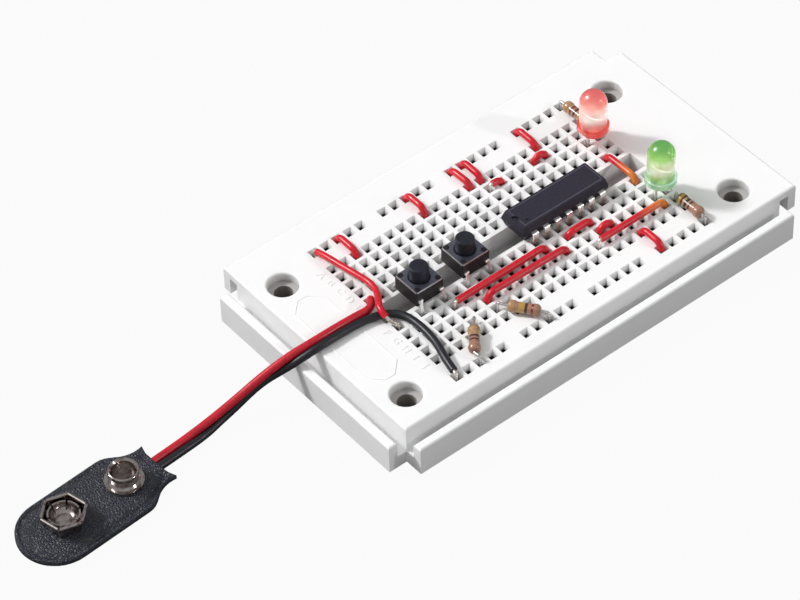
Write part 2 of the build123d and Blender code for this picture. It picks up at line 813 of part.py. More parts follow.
def pouch_outline(end_x, inset):
    """Plan of the thick middle of the cover, or of what it holds, drawn in from the rim."""
    half = snap_half_width - inset
    slope = (snap_half_width - snap_body_end_half_width) / (snap_body_end - snap_straight)
    end_half = half - slope * (end_x - snap_straight)
    return [
        ThreePointArc((snap_end_x, half), (snap_end_x - half, 0), (snap_end_x, -half)),
        Line((snap_end_x, -half), (snap_straight, -half)),
        Line((snap_straight, -half), (end_x, -end_half)),
        Line((end_x, -end_half), (end_x, end_half)),
        Line((end_x, end_half), (snap_straight, half)),
        Line((snap_straight, half), (snap_end_x, half)),
    ]


def plate_from(outline, z0, z1):
    """A flat plate with a given plan between two levels."""
    return extrude(Pos(0, 0, z0) * make_face(Wire(outline)), z1 - z0)


def make_snap():
    """The welded vinyl cover, the insulating plate inside and the two contacts through it."""
    middle_z = snap_thickness / 2
    half_rim = snap_rim_thickness / 2
    cover = plate_from(snap_outline(), middle_z - half_rim, middle_z + half_rim)
    cover += plate_from(pouch_outline(snap_body_end, snap_weld - snap_wall), 0, snap_thickness)
    hollow_top = snap_thickness - snap_wall
    plate_low = snap_wall + rivet_head_thickness
    cover -= plate_from(pouch_outline(fibre_end, snap_weld), snap_wall, hollow_top)
    plate = plate_from(pouch_outline(fibre_end - fibre_clearance, snap_weld + fibre_clearance),
                       plate_low, hollow_top)
    for x in (socket_x, stud_x):
        cover -= rod(shank_diameter, x, 0, hollow_top, snap_thickness)
        plate -= rod(shank_diameter, x, 0, plate_low, hollow_top)
    for y in (lead_exit_y, -lead_exit_y):
        cover -= lead_bore(y)
    write(snap_place * cover, "snap_cover")
    write(snap_place * plate, "snap_fibre_plate")
    write(snap_place * snap_socket(), "snap_socket")
    write(snap_place * snap_stud(), "snap_stud")


lead_exit_x = snap_ear_reach - snap_hollow - battery_socket_depth
lead_exit_z = snap_thickness / 2


def lead_bore(y):
    """The pocket in the cover's hollow end where a battery lead is welded in."""
    length = snap_ear_reach - lead_exit_x
    bore = Pos(lead_exit_x + length / 2, y, lead_exit_z) * Rot(0, 90, 0)
    return bore * Cylinder(battery_lead_diameter / 2, length)


def rivet(x):
    """The shank and head that hold a contact through the cover and the plate."""
    head_low = snap_wall
    head_top = snap_wall + rivet_head_thickness
    return (rod(rivet_head_diameter, x, 0, head_low, head_top)
            + rod(shank_diameter, x, 0, head_top, snap_thickness))


def hexagon_at(radius, z):
    """A regular hexagon with corners at a radius, at a level above the snap's cover."""
    return Pos(socket_x, 0, z) * RegularPolygon(radius, 6, rotation=socket_turn)


def snap_socket():
    """The six-sided female contact: flared walls with a beaded rim round a sprung bowl."""
    low = snap_thickness
    top = low + socket_height
    outer = loft([hexagon_at(socket_base_radius, low), hexagon_at(socket_corner_radius, top)])
    floor = low + socket_floor
    inner = loft([hexagon_at(socket_base_radius - socket_wall, floor),
                  hexagon_at(socket_corner_radius - socket_wall, top)])
    cup = outer - inner
    bowl_rim = socket_bowl_diameter / 2
    bowl_foot = socket_bowl_foot / 2
    bowl_top = top - socket_bead
    outer_side = ThreePointArc((bowl_foot, floor), (0.93 * bowl_rim, (floor + bowl_top) / 2),
                               (bowl_rim, bowl_top))
    inner_side = ThreePointArc((bowl_rim - socket_wall, bowl_top),
                               (0.93 * bowl_rim - socket_wall, (floor + bowl_top) / 2),
                               (bowl_foot - socket_wall, floor))
    closing = Polyline((bowl_rim, bowl_top), (bowl_rim - socket_wall, bowl_top))
    foot = Polyline((bowl_foot - socket_wall, floor), (bowl_foot, floor))
    ring = revolve(Plane.XZ * make_face(outer_side + closing + inner_side + foot), Axis.Z)
    ring = Pos(socket_x, 0, 0) * ring
    for turn in range(0, 180, 60):
        slit = Pos(socket_x, 0, (floor + top) / 2 + socket_slit_rise) * Rot(0, 0, turn + socket_turn)
        ring -= slit * Box(socket_bowl_diameter + socket_slit, socket_slit, top - floor)
    middle_radius = socket_corner_radius - socket_wall / 2
    bar_x = middle_radius * math.cos(math.radians(30))
    for corner in range(6):
        turn = socket_turn + 30 + 60 * corner
        bar = Rot(90, 0, 0) * Cylinder(socket_bead, middle_radius - socket_bar_gap)
        cup += Pos(socket_x, 0, top) * Rot(0, 0, turn) * Pos(bar_x, 0, 0) * bar
    return cup + ring + rivet(socket_x)


def snap_stud():
    """The round male contact: a flange, a waisted hollow barrel and a rolled lip."""
    low = snap_thickness
    top = low + stud_height
    flange = stud_flange_diameter / 2
    waist = stud_waist_diameter / 2
    lip = stud_lip_diameter / 2
    flange_top = low + stud_flange_thickness
    lip_low = top - stud_lip_height
    roll = lip - stud_lip_roll
    foot = waist + stud_foot_round
    side = Spline((waist, flange_top + stud_foot_round), (waist, lip_low),
                  (lip, (lip_low + 2 * top) / 3), (roll, top), tangents=[(0, 1), (-1, 0)])
    bore = waist - stud_wall
    outline = Polyline((roll, top), (bore + stud_lip_roll, top), (bore, top - stud_lip_roll),
                       (bore, low + stud_wall), (0, low + stud_wall), (0, low), (flange, low),
                       (flange, flange_top), (foot, flange_top),
                       (waist, flange_top + stud_foot_round))
    face = make_face(side + outline)
    barrel = revolve(Plane.XZ * face, Axis.Z)
    return Pos(stud_x, 0, 0) * barrel + rivet(stud_x)


# ---------------------------------------------------------------- battery leads
def snap_point(x, y, z):
    """A point given in the snap's own frame."""
    return (snap_place * Pos(x, y, z)).position


def make_lead(name, route, radii):
    """A flexible insulated lead along its route, with a printed check of its bends."""
    path = rounded_path(route, radii)
    solid = tube(path, battery_lead_diameter)
    section = math.pi * battery_lead_diameter ** 2 / 4
    print(name, "length", round(path.length, 1), "volume / (section x length)",
          round(solid.volume / (section * path.length), 4))
    print(name, "radii", [round(r, 1) for r in radii])
    write(solid, name)


def make_battery_leads():
    """Red lead to row e and black lead to the near bus, each ending in a tinned tip."""
    red_hole = tie_point("e", 0)
    black_hole = tie_point("near", 0)
    red_middle = [(-63.8, 4.55, 1.95), (-57.6, 4.5, 3.4), (-52.0, 3.9, 5.95), (-46.9, 2.9, 8.35),
                  (-42.0, 1.8, 9.75), (-37.3, 2.0, 9.5), (-32.8, 1.95, 9.42), (-29.5, 1.5, 9.6)]
    red = [snap_point(lead_exit_x, lead_exit_y, lead_exit_z),
           snap_point(lead_exit_x + snap_lead_straight, lead_exit_y, lead_exit_z),
           *[Vector(*p) for p in red_middle],
           Vector(red_hole.X, red_hole.Y, board_top + 1.1),
           Vector(red_hole.X, red_hole.Y, board_top - 0.4)]
    red_radii = turn_radii(red)
    red_radii[-1] = red_tip_bend
    black_middle = [(-64.0, 3.4, 0.83), (-60.6, 4.0, 1.15), (-57.4, 4.35, 1.8), (-51.6, 4.2, 4.45),
                    (-47.2, 2.25, 6.75), (-44.6, 0.95, 8.35), (-42.0, 0.3, 9.4),
                    (-37.4, 0.45, 9.3), (-33.2, 0.4, 9.3), (-29.7, -0.2, 9.28),
                    (-27.4, -1.35, 9.28), (-26.2, -3.1, 9.3), (-25.75, -5.4, 9.3),
                    (-25.75, -8.6, 9.35), (-26.35, -12.3, 9.45)]
    black_end = [(-27.5, -15.5, board_top + 1.05), (black_hole.X, -18.2, board_top + 0.7)]
    black = [snap_point(lead_exit_x, -lead_exit_y, lead_exit_z),
             snap_point(lead_exit_x + snap_lead_straight, -lead_exit_y, lead_exit_z),
             *[Vector(*p) for p in black_middle + black_end]]
    make_lead("lead_red", red, red_radii)
    make_lead("lead_black", black, turn_radii(black))
    red_tip = rod(lead_gauge, red_hole.X, red_hole.Y, tip_level, red[-1].Z)
    run = black[-1] - black[-2]
    corner = black[-1] + run * ((black_hole.Y - black[-1].Y) / run.Y)
    tip_path = rounded_path([black[-1], corner, Vector(corner.X, corner.Y, tip_level)], bare_bend)
    write(group([red_tip, tube(tip_path, lead_gauge)]), "lead_tips")


# ---------------------------------------------------------------- the whole trainer
os.makedirs("parts", exist_ok=True)

write(make_breadboard_body(), "breadboard_body")
write(make_adhesive_pad(), "adhesive_pad")
write(make_row_clips(1), "row_clips_far")
write(make_row_clips(-1), "row_clips_near")
write(make_bus_clip(1), "bus_clip_far")
write(make_bus_clip(-1), "bus_clip_near")

make_chip()
make_switch("switch_left", switch_centre_columns[0])
make_switch("switch_right", switch_centre_columns[1])
make_lamp("lamp_red", "c", red_lamp_standoff, -1)
make_lamp("lamp_green", "h", green_lamp_standoff, 1)
make_resistor("resistor_left_switch", ("i", 4), ("near", 2), (-0.75, -0.15), -5)
make_resistor("resistor_right_switch", ("i", 6), ("near", 8), (0.1, -0.15), 2)
make_resistor("resistor_green_lamp", ("i", 22), ("near", 22), (-0.25, -0.2))
make_resistor("resistor_red_lamp", ("b", 22), ("far", 22), (0.1, -0.28))

make_supply_strap()
for link_column, crest in ((2, (0.85, 0.75)), (8, (1.15, 1.15)), (12, (0.6, 0.75)),
                           (13, (1.05, 0.95)), (18, (0.85, 0.75))):
    make_link(f"link_far_bus_{link_column}", ("far", link_column), ("a", link_column), crest)
make_link("link_near_bus_18", ("j", 18), ("near", 18), (1.15, 1.05))
make_link("link_tie_13_14", ("b", 13), ("b", 14), (0.75, 0.65), bare_start=True)
make_link("link_tie_17_18", ("b", 17), ("b", 18), (0.9, 0.8))
make_link("link_channel_21", ("e", 21), ("f", 21), (0.8, 0.9))
make_link("link_input_4_12", ("g", 4), ("g", 12), (0.85, 0.95), bare_start=True)
make_link("link_input_6_13", ("h", 6), ("h", 13), (1.3, 0.95))
make_link("link_gate_14_16", ("g", 14), ("g", 16), (0.65, 0.65))
make_link("link_gate_16_17", ("h", 16), ("h", 17), (0.7, 0.65))
make_link("link_output_15_21", ("i", 15), ("i", 21), (1.1, 1.05), bare_start=True)
write(group(link_cores), "link_cores")

make_snap()
make_battery_leads()
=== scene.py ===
import math

import bmesh
import bpy
import numpy as np
from mathutils import Matrix, Vector
from mathutils.geometry import delaunay_2d_cdt, interpolate_bezier


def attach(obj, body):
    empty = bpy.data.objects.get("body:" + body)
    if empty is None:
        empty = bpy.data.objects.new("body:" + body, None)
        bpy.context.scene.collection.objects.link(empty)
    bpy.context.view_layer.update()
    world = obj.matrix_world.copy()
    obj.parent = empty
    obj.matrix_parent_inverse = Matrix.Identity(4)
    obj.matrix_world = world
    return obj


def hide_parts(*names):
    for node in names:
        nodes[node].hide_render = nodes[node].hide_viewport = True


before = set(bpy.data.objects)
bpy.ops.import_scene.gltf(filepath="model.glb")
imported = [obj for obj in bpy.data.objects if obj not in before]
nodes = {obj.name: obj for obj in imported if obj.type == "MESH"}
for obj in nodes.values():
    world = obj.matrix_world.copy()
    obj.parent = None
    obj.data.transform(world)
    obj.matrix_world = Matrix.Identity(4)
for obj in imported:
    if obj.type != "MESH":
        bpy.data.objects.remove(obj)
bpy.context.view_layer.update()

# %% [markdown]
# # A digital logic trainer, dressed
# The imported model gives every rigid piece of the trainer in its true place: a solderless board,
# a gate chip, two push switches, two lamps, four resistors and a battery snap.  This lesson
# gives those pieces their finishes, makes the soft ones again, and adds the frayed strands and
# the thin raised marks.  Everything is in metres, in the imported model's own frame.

MM = 0.001
BOARD_TOP = 8.5 * MM


# %% Tie points
PITCH = 2.54 * MM
COLUMN_0 = -11 * PITCH
BUS_Y = 7.5 * PITCH
ROWS = "abcdefghij"
FIRST_NEAR_ROW = ROWS.index("f")
ROW_A_PITCHES = 5.5
CHANNEL_PITCHES = 2


def tie_point(row, column):
    """Plan position of a tie point: rows a to e and f to j, or one of the two bus rows."""
    if row in ("far", "near"):
        y = BUS_Y if row == "far" else -BUS_Y
    else:
        index = ROWS.index(row)
        past_channel = CHANNEL_PITCHES if index >= FIRST_NEAR_ROW else 0
        y = (ROW_A_PITCHES - past_channel - index) * PITCH
    return Vector((COLUMN_0 + column * PITCH, y, 0))


print("row a is", round(tie_point("a", 0).y / MM, 2), "mm from the middle line")


# %% Helpers for new objects
def new_object(name, data):
    """A new object in the scene, from its mesh, curve, lamp or camera data."""
    thing = bpy.data.objects.new(name, data)
    bpy.context.collection.objects.link(thing)
    return thing


def new_curve(name, kind, points):
    """A curve object of one open spline that follows points in metres."""
    data = bpy.data.curves.new(name, "CURVE")
    data.dimensions = "3D"
    spline = data.splines.new(kind)
    spline.points.add(len(points) - 1)
    for slot, point in zip(spline.points, points):
        slot.co = (*point, 1.0)
    return new_object(name, data)


# %% [markdown]
# ## The camera
# The trainer is seen from in front and above, from about two thirds of a metre, through a long
# lens, so its far end is hardly smaller than its near end.  The camera's axes are written out
# as three vectors, which is the plainest way to say exactly how it is turned.

# %% Camera
camera_data = bpy.data.cameras.new("studio_camera")
camera_data.sensor_width = 36.0
camera_data.lens = 173.4
camera_data.clip_start = 0.05
camera = new_object("studio_camera", camera_data)
right = Vector((0.77367735, -0.63304107, -0.02612201))
down = Vector((-0.47069785, -0.54669199, -0.69251094))
ahead = Vector((0.42410717, 0.5480756, -0.72093428))
turn = Matrix((right, -down, -ahead)).transposed().to_4x4()
camera.matrix_world = Matrix.Translation((-0.30156, -0.35794, 0.48029)) @ turn
bpy.context.scene.camera = camera
bpy.context.scene.view_settings.view_transform = "Standard"
print("camera at", [round(v, 3) for v in camera.location])

# %% [markdown]
# ## The battery leads
# Each lead is a limp vinyl cord.  It leaves its tie point, crosses the board's edge beside its
# twin, sinks to the bench and ends in the snap's cover.  A chain of straight runs would look
# like bent wire, so a NURBS curve led by nearly the same points as the solid gives one smooth
# line.  The black lead's points are nudged by up to an eighth of a millimetre, so that it
# rests against the red one.  The round section is a bevel of 1 scaled down by each point's
# radius, which keeps the curve's bounding box as small as the lead.

# %% Lead routes
LEAD_DIAMETER = 1.45 * MM
SNAP_X, SNAP_Y, SNAP_TURN = -87.4 * MM, 2.75 * MM, math.radians(3.3)
snap_place = Matrix.Translation((SNAP_X, SNAP_Y, 0)) @ Matrix.Rotation(SNAP_TURN, 4, "Z")
ENTRY_OUTSIDE_X, ENTRY_INSIDE_X, ENTRY_Y, ENTRY_Z = 17.7, 11.7, 0.8, 1.1


def on_snap(x, y, z):
    """A point in millimetres in the snap's own frame, as a point of the whole model."""
    return snap_place @ (Vector((x, y, z)) * MM)


def snap_end(side):
    """A lead's last two points, outside the cover and inside it; side is 1 or -1 along Y."""
    return [on_snap(x, side * ENTRY_Y, ENTRY_Z) for x in (ENTRY_OUTSIDE_X, ENTRY_INSIDE_X)]


def lead_curve(name, points):
    """A NURBS curve led by control points in metres, with the lead's round section."""
    lead = new_curve(name, "NURBS", points)
    spline = lead.data.splines[0]
    for slot in spline.points:
        slot.radius = LEAD_DIAMETER / 2
    spline.order_u = 3
    spline.use_endpoint_u = True
    spline.resolution_u = 16
    lead.data.bevel_depth = 1.0
    lead.data.bevel_resolution = 6
    lead.data.use_fill_caps = True
    return lead


red_points = [Vector(p) * MM for p in [
    (-27.94, 3.81, 8.1), (-27.94, 3.81, 9.6), (-29.5, 1.5, 9.6), (-32.8, 1.95, 9.42),
    (-37.3, 2.0, 9.5), (-42.0, 1.8, 9.75), (-46.9, 2.9, 8.35), (-52.0, 3.9, 5.95),
    (-57.6, 4.5, 3.4), (-63.8, 4.55, 1.95)]] + snap_end(1)
black_points = [Vector(p) * MM for p in [
    (-27.94, -18.2, 9.2), (-27.5, -15.5, 9.55), (-26.35, -12.3, 9.45), (-25.75, -8.6, 9.35),
    (-25.75, -5.4, 9.3), (-26.2, -3.1, 9.3), (-27.4, -1.35, 9.28), (-29.7, -0.2, 9.28),
    (-33.2, 0.47, 9.3), (-37.4, 0.58, 9.32), (-42.0, 0.44, 9.45), (-44.6, 1.06, 8.42),
    (-47.2, 2.25, 6.75), (-51.6, 4.2, 4.45), (-57.4, 4.35, 1.92), (-60.6, 4.1, 1.28),
    (-64.0, 3.5, 0.93)]] + snap_end(-1)
red_lead = lead_curve("battery_lead_red", red_points)
black_lead = lead_curve("battery_lead_black", black_points)

for lead, node in ((red_lead, "lead_red"), (black_lead, "lead_black")):
    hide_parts(node)
    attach(lead, "board")

# %% [markdown]
# ## Finishes
# A real surface is never one flat colour.  Moulded plastic clouds a little, metal carries
# brush marks and tarnish, and a cast case has a grain.  Each finish below starts from the same
# recipe: a noise at the scale of the real variation drifts the colour and the roughness, and a
# finer noise raises the grain.  All of them read Object coordinates in metres, so a pattern
# keeps its true size on every piece.


# %% Helpers for node trees
def feed(tree, socket, value):
    """Link an input to another socket, or set it; a plain colour is given an alpha of 1."""
    if isinstance(value, bpy.types.NodeSocket):
        tree.links.new(value, socket)
    else:
        socket.default_value = (*value, 1) if socket.type == "RGBA" else value


def feed_by_name(tree, node, values):
    """Feed a node's inputs by their names, where an underscore stands for a space."""
    for name, value in values.items():
        feed(tree, node.inputs[name.replace("_", " ")], value)


def add_node(tree, kind, settings=None, **values):
    """A new node, its settings made first and then its inputs fed by name."""
    node = tree.nodes.new(kind)
    for name, value in (settings or {}).items():
        setattr(node, name, value)
    feed_by_name(tree, node, values)
    return node


def calculate(tree, operation, *values, kind="ShaderNodeMath"):
    """One step of arithmetic; each value is a socket or a plain number."""
    node = add_node(tree, kind, {"operation": operation})
    for socket, value in zip(node.inputs, values):
        feed(tree, socket, value)
    return next(socket for socket in node.outputs if socket.enabled)


# %% A recipe for a finish
# Noise runs from 0 to 1 but seldom leaves the range between these two values.
NOISE_LOW, NOISE_HIGH = 0.3, 0.7


class Finish:
    """A material under construction: its node tree and short ways to add to it."""

    def __init__(self, name, roughness, metallic=0.0):
        self.material = bpy.data.materials.new(name)
        self.material.use_nodes = True
        self.tree = self.material.node_tree
        self.shader = self.tree.nodes["Principled BSDF"]
        self.coordinate = add_node(self.tree, "ShaderNodeTexCoord").outputs["Object"]
        self.set(Roughness=roughness, Metallic=metallic)

    def math(self, operation, *values):
        """One step of arithmetic in this material's tree."""
        return calculate(self.tree, operation, *values)

    def absolute(self, value):
        """A value without its sign."""
        return self.math("ABSOLUTE", value)

    def noise(self, size, detail=3.0, stretch=(1, 1, 1)):
        """Noise with features about size metres across; stretch squeezes them along an axis."""
        place = add_node(self.tree, "ShaderNodeMapping", Vector=self.coordinate, Scale=stretch)
        return add_node(self.tree, "ShaderNodeTexNoise", Vector=place.outputs["Vector"],
                        Scale=1 / size, Detail=detail).outputs["Fac"]

    def ramp(self, factor, stops, interpolation="LINEAR"):
        """A colour ramp: stops are (position, colour), and factor runs from 0 to 1."""
        node = add_node(self.tree, "ShaderNodeValToRGB", Fac=factor)
        node.color_ramp.interpolation = interpolation
        elements = node.color_ramp.elements
        while len(elements) < len(stops):
            elements.new(0.5)
        for element, (position, colour) in zip(elements, stops):
            element.position = position
            element.color = (*colour, 1)
        return node.outputs["Color"]

    def span(self, value, low, high, start=0.0, end=1.0):
        """A value mapped so that low becomes start and high becomes end, held between them."""
        return add_node(self.tree, "ShaderNodeMapRange", Value=value, From_Min=low,
                        From_Max=high, To_Min=start, To_Max=end).outputs["Result"]

    def mix(self, factor, a, b, blend="MIX"):
        """Two colours mixed; each is a socket or a plain colour."""
        return add_node(self.tree, "ShaderNodeMix", {"data_type": "RGBA", "blend_type": blend},
                        Factor=factor, A=a, B=b).outputs["Result"]

    def axes(self, location=(0, 0, 0), turn=0.0):
        """Object coordinates measured from a point in metres, turned about the upright axis."""
        shift = add_node(self.tree, "ShaderNodeMapping", {"vector_type": "TEXTURE"},
                         Vector=self.coordinate, Location=location, Rotation=(0, 0, turn))
        return add_node(self.tree, "ShaderNodeSeparateXYZ", Vector=shift.outputs["Vector"]).outputs

    def set(self, **values):
        """Feed the shader's own inputs with sockets or plain values, and give the material."""
        feed_by_name(self.tree, self.shader, values)
        return self.material

    def colour(self, source):
        """Paint the surface with a socket's colour."""
        self.set(Base_Color=source)

    def drift(self, base, amount, size):
        """A base colour, lighter and darker by a share, in clouds of a given size."""
        dark = tuple(c * (1 - amount) for c in base)
        light = tuple(min(1.0, c * (1 + amount)) for c in base)
        return self.ramp(self.noise(size), [(NOISE_LOW, dark), (NOISE_HIGH, light)])

    def wear(self, low, high, size, stretch=(1, 1, 1)):
        """Roughness that wanders between two values."""
        clouds = self.noise(size, detail=2.0, stretch=stretch)
        self.set(Roughness=self.span(clouds, NOISE_LOW, NOISE_HIGH, low, high))

    def bump(self, relief, height):
        """Relief from a socket, where a step from 0 to 1 stands for a height in metres."""
        node = add_node(self.tree, "ShaderNodeBump", Height=relief, Distance=height)
        self.set(Normal=node.outputs["Normal"])

    def grain(self, size, height, stretch=(1, 1, 1)):
        """A bump of given height in metres from noise of a given size."""
        self.bump(self.noise(size, stretch=stretch), height)


def dress(node, material):
    """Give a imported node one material."""
    slots = nodes[node].data.materials
    slots.clear()
    slots.append(material)


# %% [markdown]
# ### The board
# The body is white moulded plastic with a satin skin.  Its funnels are lit by the sky, but the
# square throats below them lead into pockets where no light comes back, so they read almost
# black; that shade is painted into the colour.  The finish finds the throats by their place:
# inside the field of tie points and below the level where the funnels end.  The open channel
# gets a painted grey shade towards its floor, and the four fixing holes get painted shade
# that deepens with depth in the same way.

# %% White plastic
FIELD_HALF_X = 28.9 * MM
FIELD_INNER_Y, FIELD_OUTER_Y = 2.7 * MM, 20.2 * MM
THROAT_LEVEL = 7.3 * MM
THROAT_PAINTED_SHADE_RAMP = [(0.0, (0.014, 0.013, 0.013)), (0.08, (0.05, 0.046, 0.045)),
                 (0.15, (0.4, 0.39, 0.385)), (0.5, (0.75, 0.745, 0.74)), (1.0, (1, 1, 1))]
CHANNEL_HALF_X, CHANNEL_HALF_Y = 30 * MM, 2.15 * MM
CHANNEL_SHADE_START, CHANNEL_SHADE_END = 8.3 * MM, 4.6 * MM
CHANNEL_PAINTED_SHADE = (0.5, 0.48, 0.48)
SCREW_X, SCREW_Y = 36.85 * MM, 16.6 * MM
HOLE_REACH = 2.9 * MM
HOLE_SHADE_END = 4.0 * MM
HOLE_PAINTED_GREY = (0.2, 0.175, 0.16)
HOLE_PAINTED_SHADE_RAMP = [(0.0, (0, 0, 0)), (0.34, (0.42, 0.42, 0.42)), (0.45, (0.66, 0.66, 0.66)),
               (0.5, (0.92, 0.92, 0.92))]


def white_plastic(name, holes=False):
    """White moulded plastic; with holes, painted shade darkens the insides of the board's
    openings.
    """
    finish = Finish(name, 0.42)
    white = finish.drift((0.885, 0.885, 0.888), 0.01, 6 * MM)
    if holes:
        x, y, z = finish.axes()
        reach_x, reach_y = finish.absolute(x), finish.absolute(y)
        inside_y = finish.math("MULTIPLY", finish.math("GREATER_THAN", reach_y, FIELD_INNER_Y),
                               finish.math("LESS_THAN", reach_y, FIELD_OUTER_Y))
        field = finish.math("MULTIPLY", finish.math("LESS_THAN", reach_x, FIELD_HALF_X), inside_y)
        # Painted shade: within the field the funnels darken with depth into near black throats.
        shade = finish.ramp(finish.span(z, THROAT_LEVEL, BOARD_TOP), THROAT_PAINTED_SHADE_RAMP)
        white = finish.mix(field, white, shade, "MULTIPLY")

        # Painted shade: the open channel turns grey towards its floor.
        in_channel = finish.math("MULTIPLY", finish.math("LESS_THAN", reach_y, CHANNEL_HALF_Y),
                                 finish.math("LESS_THAN", reach_x, CHANNEL_HALF_X))
        depth = finish.span(z, CHANNEL_SHADE_START, CHANNEL_SHADE_END)
        white = finish.mix(finish.math("MULTIPLY", in_channel, depth), white, CHANNEL_PAINTED_SHADE)

        # Painted shade: the four fixing holes darken with depth towards a brown grey.
        past_x = finish.math("SUBTRACT", reach_x, SCREW_X)
        past_y = finish.math("SUBTRACT", reach_y, SCREW_Y)
        from_hole = finish.math("SQRT", finish.math("ADD", finish.math("MULTIPLY", past_x, past_x),
                                                    finish.math("MULTIPLY", past_y, past_y)))
        in_hole = finish.math("MULTIPLY", finish.math("LESS_THAN", from_hole, HOLE_REACH),
                              finish.ramp(finish.span(z, BOARD_TOP, HOLE_SHADE_END), HOLE_PAINTED_SHADE_RAMP))
        white = finish.mix(in_hole, white, HOLE_PAINTED_GREY)
    finish.colour(white)
    finish.wear(0.36, 0.48, 3 * MM)
    finish.grain(0.25 * MM, 0.006 * MM)
    return finish.set(Specular_IOR_Level=0.42)


body_white = white_plastic("board_white", holes=True)
mark_white = white_plastic("raised_mark_white")
dress("breadboard_body", body_white)
print("board finish has", len(body_white.node_tree.nodes), "nodes")

# %% Foam pad and clips
foam = Finish("pad_foam", 0.85)
foam.colour(foam.drift((0.78, 0.77, 0.72), 0.05, 1.2 * MM))
foam.grain(0.3 * MM, 0.05 * MM)
dress("adhesive_pad", foam.material)

# The clips are given a dark grey: painted shade for the dark pockets they sit in.
clip = Finish("clip_strip_painted_shade", 0.5, metallic=1.0)
clip.colour(clip.drift((0.2, 0.195, 0.185), 0.2, 1.5 * MM))
clip.wear(0.4, 0.6, 1 * MM)
for node in ("row_clips_far", "row_clips_near", "bus_clip_far", "bus_clip_near"):
    dress(node, clip.material)

# %% [markdown]
# ### The chip
# The case is cast epoxy filled with fine glass, so it is a navy black with a dusty speckle.
# A thin grey line is painted round its top, just inside the edge: a painted highlight.
# Its leads are tinned, and their colour changes by height: the shoulders keep bright tin,
# and the narrow parts below are painted a warm pink, a painted reflection.

# %% Chip finishes
CHIP_TOP = 12.1 * MM
CHIP_COLUMN = 15
LINE_HALF_X, LINE_HALF_Y = 8.75 * MM, 2.25 * MM
LINE_REACH = 0.05 * MM
EDGE_HIGHLIGHT_GREY, LINE_SHARE = (0.19, 0.18, 0.21), 0.6
epoxy = Finish("chip_epoxy", 0.5)
speckle = epoxy.ramp(epoxy.noise(0.12 * MM, detail=4.0),
                     [(0.42, (0.014, 0.012, 0.024)), (0.68, (0.04, 0.037, 0.056))])
x, y, z = epoxy.axes((COLUMN_0 + CHIP_COLUMN * PITCH, 0, 0))
# Painted highlight: a grey line round the top face, just inside its edge.
past_line = epoxy.math("MAXIMUM", epoxy.math("SUBTRACT", epoxy.absolute(x), LINE_HALF_X),
                       epoxy.math("SUBTRACT", epoxy.absolute(y), LINE_HALF_Y))
painted_edge_highlight = epoxy.math("MULTIPLY", epoxy.math("GREATER_THAN", z, CHIP_TOP - LINE_REACH),
                        epoxy.math("LESS_THAN", epoxy.absolute(past_line), LINE_REACH))
epoxy.colour(epoxy.mix(epoxy.math("MULTIPLY", painted_edge_highlight, LINE_SHARE), speckle, EDGE_HIGHLIGHT_GREY))
epoxy.wear(0.42, 0.6, 0.5 * MM)
epoxy.grain(0.1 * MM, 0.012 * MM)
epoxy.set(Specular_IOR_Level=0.3)
dress("chip_case", epoxy.material)

SHOULDER_LEVEL, NARROW_LEVEL = 10.3 * MM, 9.3 * MM
tin = Finish("chip_lead_tin", 0.3, metallic=1.0)
height = tin.axes()["Z"]
bright_tin = tin.drift((0.95, 0.92, 0.9), 0.06, 0.4 * MM)
painted_warm_reflection = tin.drift((0.72, 0.58, 0.52), 0.25, 0.3 * MM)
# Painted reflection: below the shoulders the tin turns warm pink.
tin.colour(tin.mix(tin.span(height, SHOULDER_LEVEL, NARROW_LEVEL), bright_tin, painted_warm_reflection))
tin.wear(0.22, 0.42, 0.4 * MM)
tin.grain(0.2 * MM, 0.01 * MM)
dress("chip_leads", tin.material)


def metal(name, base, vary, size, rough):
    """A plated or brushed metal: its colour, how much it varies, and its span of roughness."""
    finish = Finish(name, rough[0], metallic=1.0)
    finish.colour(finish.drift(base, vary, size))
    finish.wear(*rough, size)
    finish.grain(size / 2, 0.006 * MM)
    return finish.material


dress("chip_paddle", metal("copper_paddle", (0.7, 0.45, 0.32), 0.1, 0.5 * MM, (0.3, 0.4)))
dress("chip_die", metal("silicon_die", (0.25, 0.27, 0.32), 0.1, 0.2 * MM, (0.1, 0.2)))

# %% [markdown]
# ### The push switches
# A switch is a black moulded base under a steel plate, with a black button.  The plate is
# cut from dull blue-grey strip, so its flat face is dark, and a bright rim round its edge is
# a painted highlight.  The rim is picked out by its distance from the switch's middle.

# %% Switch finishes
SWITCH_X = {"switch_left": COLUMN_0 + 3 * PITCH, "switch_right": COLUMN_0 + 7 * PITCH}
PLATE_HALF = 2.9 * MM
EDGE_HIGHLIGHT_WIDTH = 0.05 * MM


def switch_plate(name, middle_x):
    """A dull steel plate with a painted highlight round its edge, and brush marks that run along
    X.
    """
    finish = Finish(name, 0.4, metallic=1.0)
    x, y, _ = finish.axes((middle_x, 0, 0))
    reach = finish.math("MAXIMUM", finish.absolute(x), finish.absolute(y))
    # Painted highlight: a bright rim along the plate's edge.
    edge = finish.math("GREATER_THAN", reach, PLATE_HALF - EDGE_HIGHLIGHT_WIDTH)
    flat = finish.drift((0.17, 0.18, 0.225), 0.12, 1.5 * MM)
    finish.colour(finish.mix(edge, flat, (0.85, 0.84, 0.86)))
    finish.wear(0.34, 0.5, 0.6 * MM, stretch=(1, 6, 1))
    finish.grain(0.3 * MM, 0.004 * MM, stretch=(1, 8, 1))
    return finish.material


def black_moulding(name, base, rough, grain_size):
    """Black moulded plastic with a fine grain."""
    finish = Finish(name, rough)
    finish.colour(finish.drift(base, 0.2, 0.8 * MM))
    finish.wear(rough - 0.06, rough + 0.08, 0.5 * MM)
    finish.grain(grain_size, 0.02 * MM)
    return finish.set(Specular_IOR_Level=0.32)


